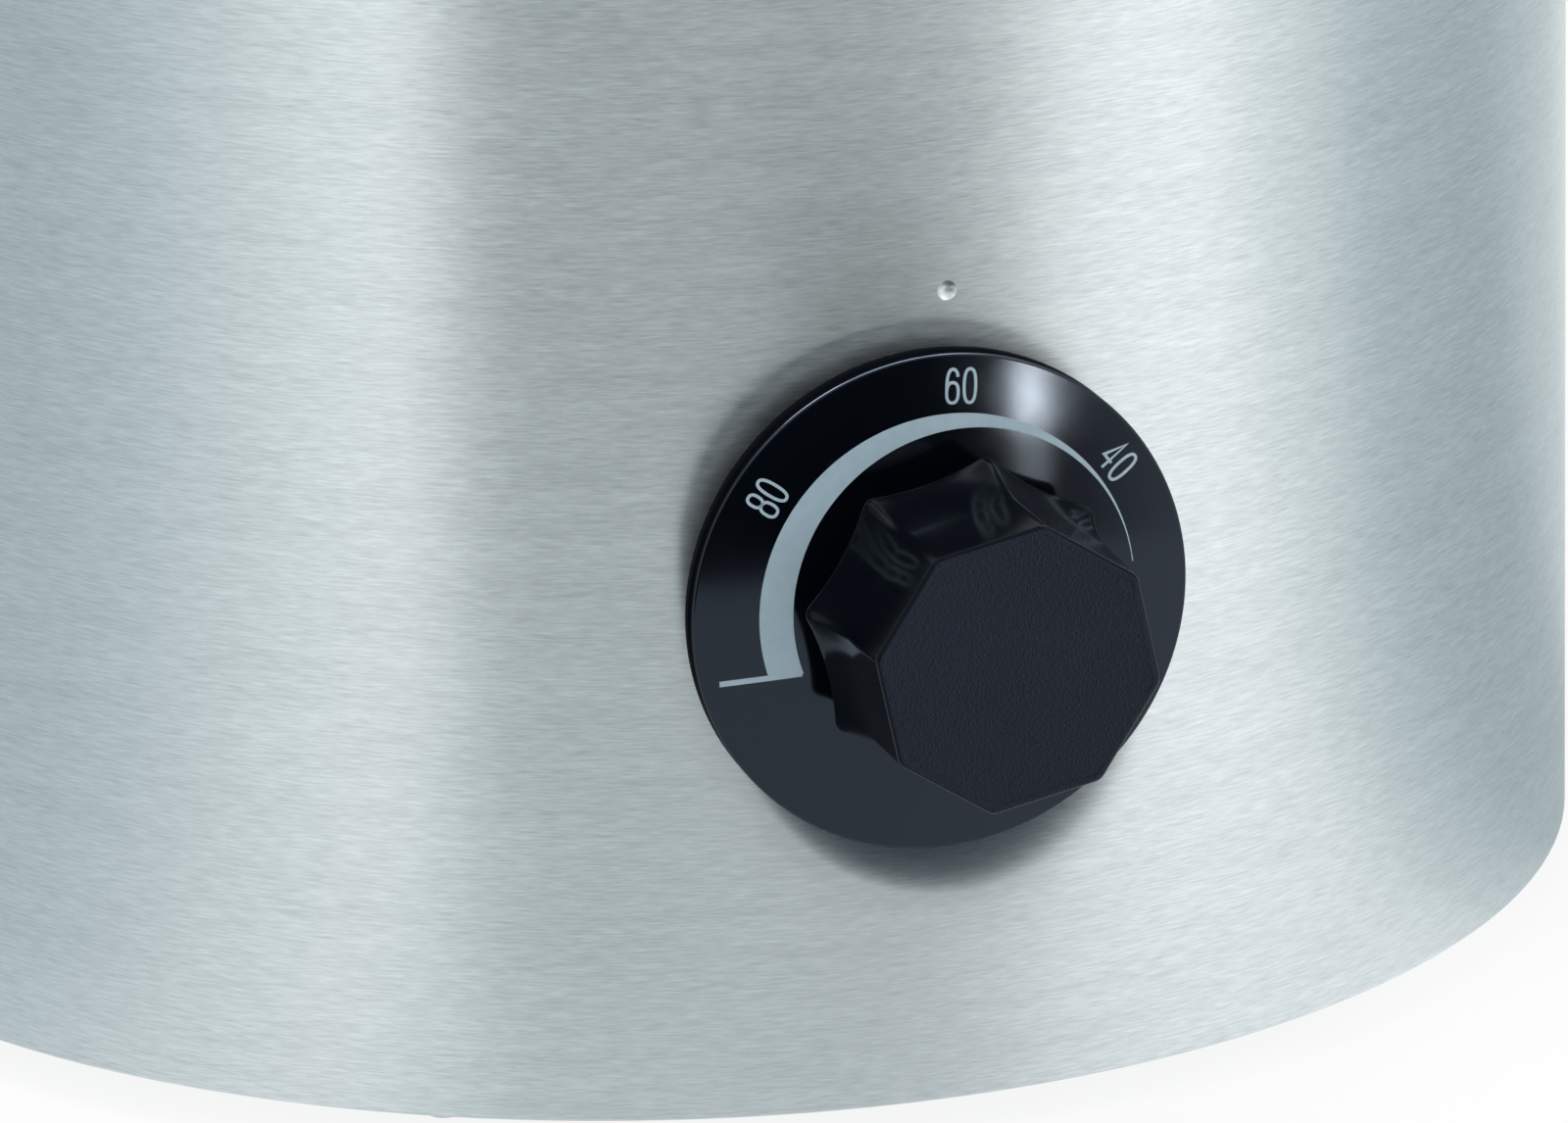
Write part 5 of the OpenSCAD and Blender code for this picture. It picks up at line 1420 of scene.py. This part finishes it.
# The lever's grip
# A black moulded grip pressed over the lever's stud, wider at the top so that a finger hooks it forward.
# The same satin black as the handles.
lever_grip_low, lever_grip_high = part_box("lever_grip")
lever_grip_y = (lever_grip_low.y + lever_grip_high.y) / 2
lever_grip_top = (lever_grip_high.x - lever_grip_low.x) / 2
lever_grip_foot = 6.5 * mm
lever_grip_edge = 3 * mm
lever_foot_edge = 0.8 * mm
satin_black = make_moulded("satin_black", (0.008, 0.010, 0.014), (0.018, 0.021, 0.027), 0.34, 0.48,
                           2000.0, 0.02 * mm)
lever_grip = turned("moulded_lever_grip", [
    (0, lever_grip_low.z),
    *bend(lever_grip_foot - lever_foot_edge, lever_grip_low.z + lever_foot_edge,
          lever_foot_edge, -90, 0, 4),
    *bend(lever_grip_top - lever_grip_edge, lever_grip_high.z - lever_grip_edge, lever_grip_edge, 0, 90, 8),
    (0, lever_grip_high.z)], 72, Matrix.Translation((0, lever_grip_y, 0)))
smooth_out(lever_grip, 40)
lever_grip.data.materials.append(satin_black)
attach(lever_grip, "lever")
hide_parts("lever_grip")

# The lid
# A spun stainless steel lid: a low dome, a flat rim with a rolled edge, and a skirt inside the vessel.
# The marks of spinning run round it in fine rings.
lid_low, lid_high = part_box("lid")
lid_reach = lid_high.x
lid_sheet = 0.8 * mm
lid_bead = 1.2 * mm
lid_seat = vessel_high.z
lid_skirt_out = 104 * mm
lid_shoulder = 1.2 * mm
lid_bend = 0.2 * mm
lid_bend_rise = 0.25 * mm
dome_radius = 237.33 * mm
dome_middle = lid_high.z - dome_radius
dome_columns = 240


def dome_height(radius, reach):
    """The height of a round dome over a radius."""
    return dome_middle + math.sqrt(reach ** 2 - radius ** 2)


dome_edge = lid_skirt_out - lid_shoulder
dome_steps = 40
lid_top_side = [(dome_edge * i / dome_steps, dome_height(dome_edge * i / dome_steps, dome_radius))
                for i in range(dome_steps + 1)]
lid_under_radii = [(dome_edge - lid_sheet) * (1 - i / dome_steps) for i in range(dome_steps + 1)]
lid_under_side = [(radius, dome_height(radius, dome_radius - lid_sheet)) for radius in lid_under_radii]
lid = turned("spun_lid", [
    *lid_top_side,
    (lid_skirt_out + lid_bend, lid_seat + lid_sheet + lid_bend_rise),
    (lid_skirt_out + lid_shoulder, lid_seat + lid_sheet),
    (lid_reach - 2 * lid_bead, lid_seat + lid_sheet),
    *bend(lid_reach - lid_bead, lid_seat + lid_bead, lid_bead, 130, -90, 14),
    (lid_reach - 2.2 * lid_bead, lid_seat), (lid_skirt_out, lid_seat), (lid_skirt_out, lid_low.z),
    (lid_skirt_out - lid_sheet, lid_low.z), *lid_under_side], dome_columns)
smooth_out(lid, 32)
lid.data.materials.append(spun_steel)
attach(lid, "lid")
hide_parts("lid")

# The lid's knob
# A round black knob on a waisted neck, held from inside the lid by one screw.
# The same satin black moulding as the handles.
lid_knob_low, lid_knob_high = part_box("lid_knob")
lid_knob_reach = lid_knob_high.x
lid_knob_neck = 9 * mm
lid_knob_edge = 7.5 * mm
lid_foot_edge = 0.5 * mm
lid_knob_fillet = 2 * mm
lid_knob_under = lid_knob_high.z - 2 * lid_knob_edge
lid_knob = turned("moulded_lid_knob", [
    (0, lid_knob_low.z),
    *bend(lid_knob_neck - lid_foot_edge, lid_knob_low.z + lid_foot_edge, lid_foot_edge, -90, 0, 3),
    *bend(lid_knob_neck + lid_knob_fillet, lid_knob_under - lid_knob_fillet, lid_knob_fillet, 180, 90, 5),
    *bend(lid_knob_reach - lid_knob_edge, lid_knob_high.z - lid_knob_edge, lid_knob_edge, -90, 90, 20),
    (0, lid_knob_high.z)], 96)
smooth_out(lid_knob, 40)
lid_knob.data.materials.append(satin_black)
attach(lid_knob, "lid")
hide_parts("lid_knob")

# The handles
# Two curved black handles, each moulded in one with its two legs and screwed to the shell from inside.
# Satin black phenolic with softly rounded edges.
handle_voxel = 0.8 * mm
handle_rounds = 12
for node, name in (("left_handle", "moulded_left_handle"), ("right_handle", "moulded_right_handle")):
    handle = solid_copy(node, name)
    cast_solid(handle, [], handle_voxel, handle_rounds)
    handle.data.materials.append(satin_black)
    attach(handle, "body")
    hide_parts(node)
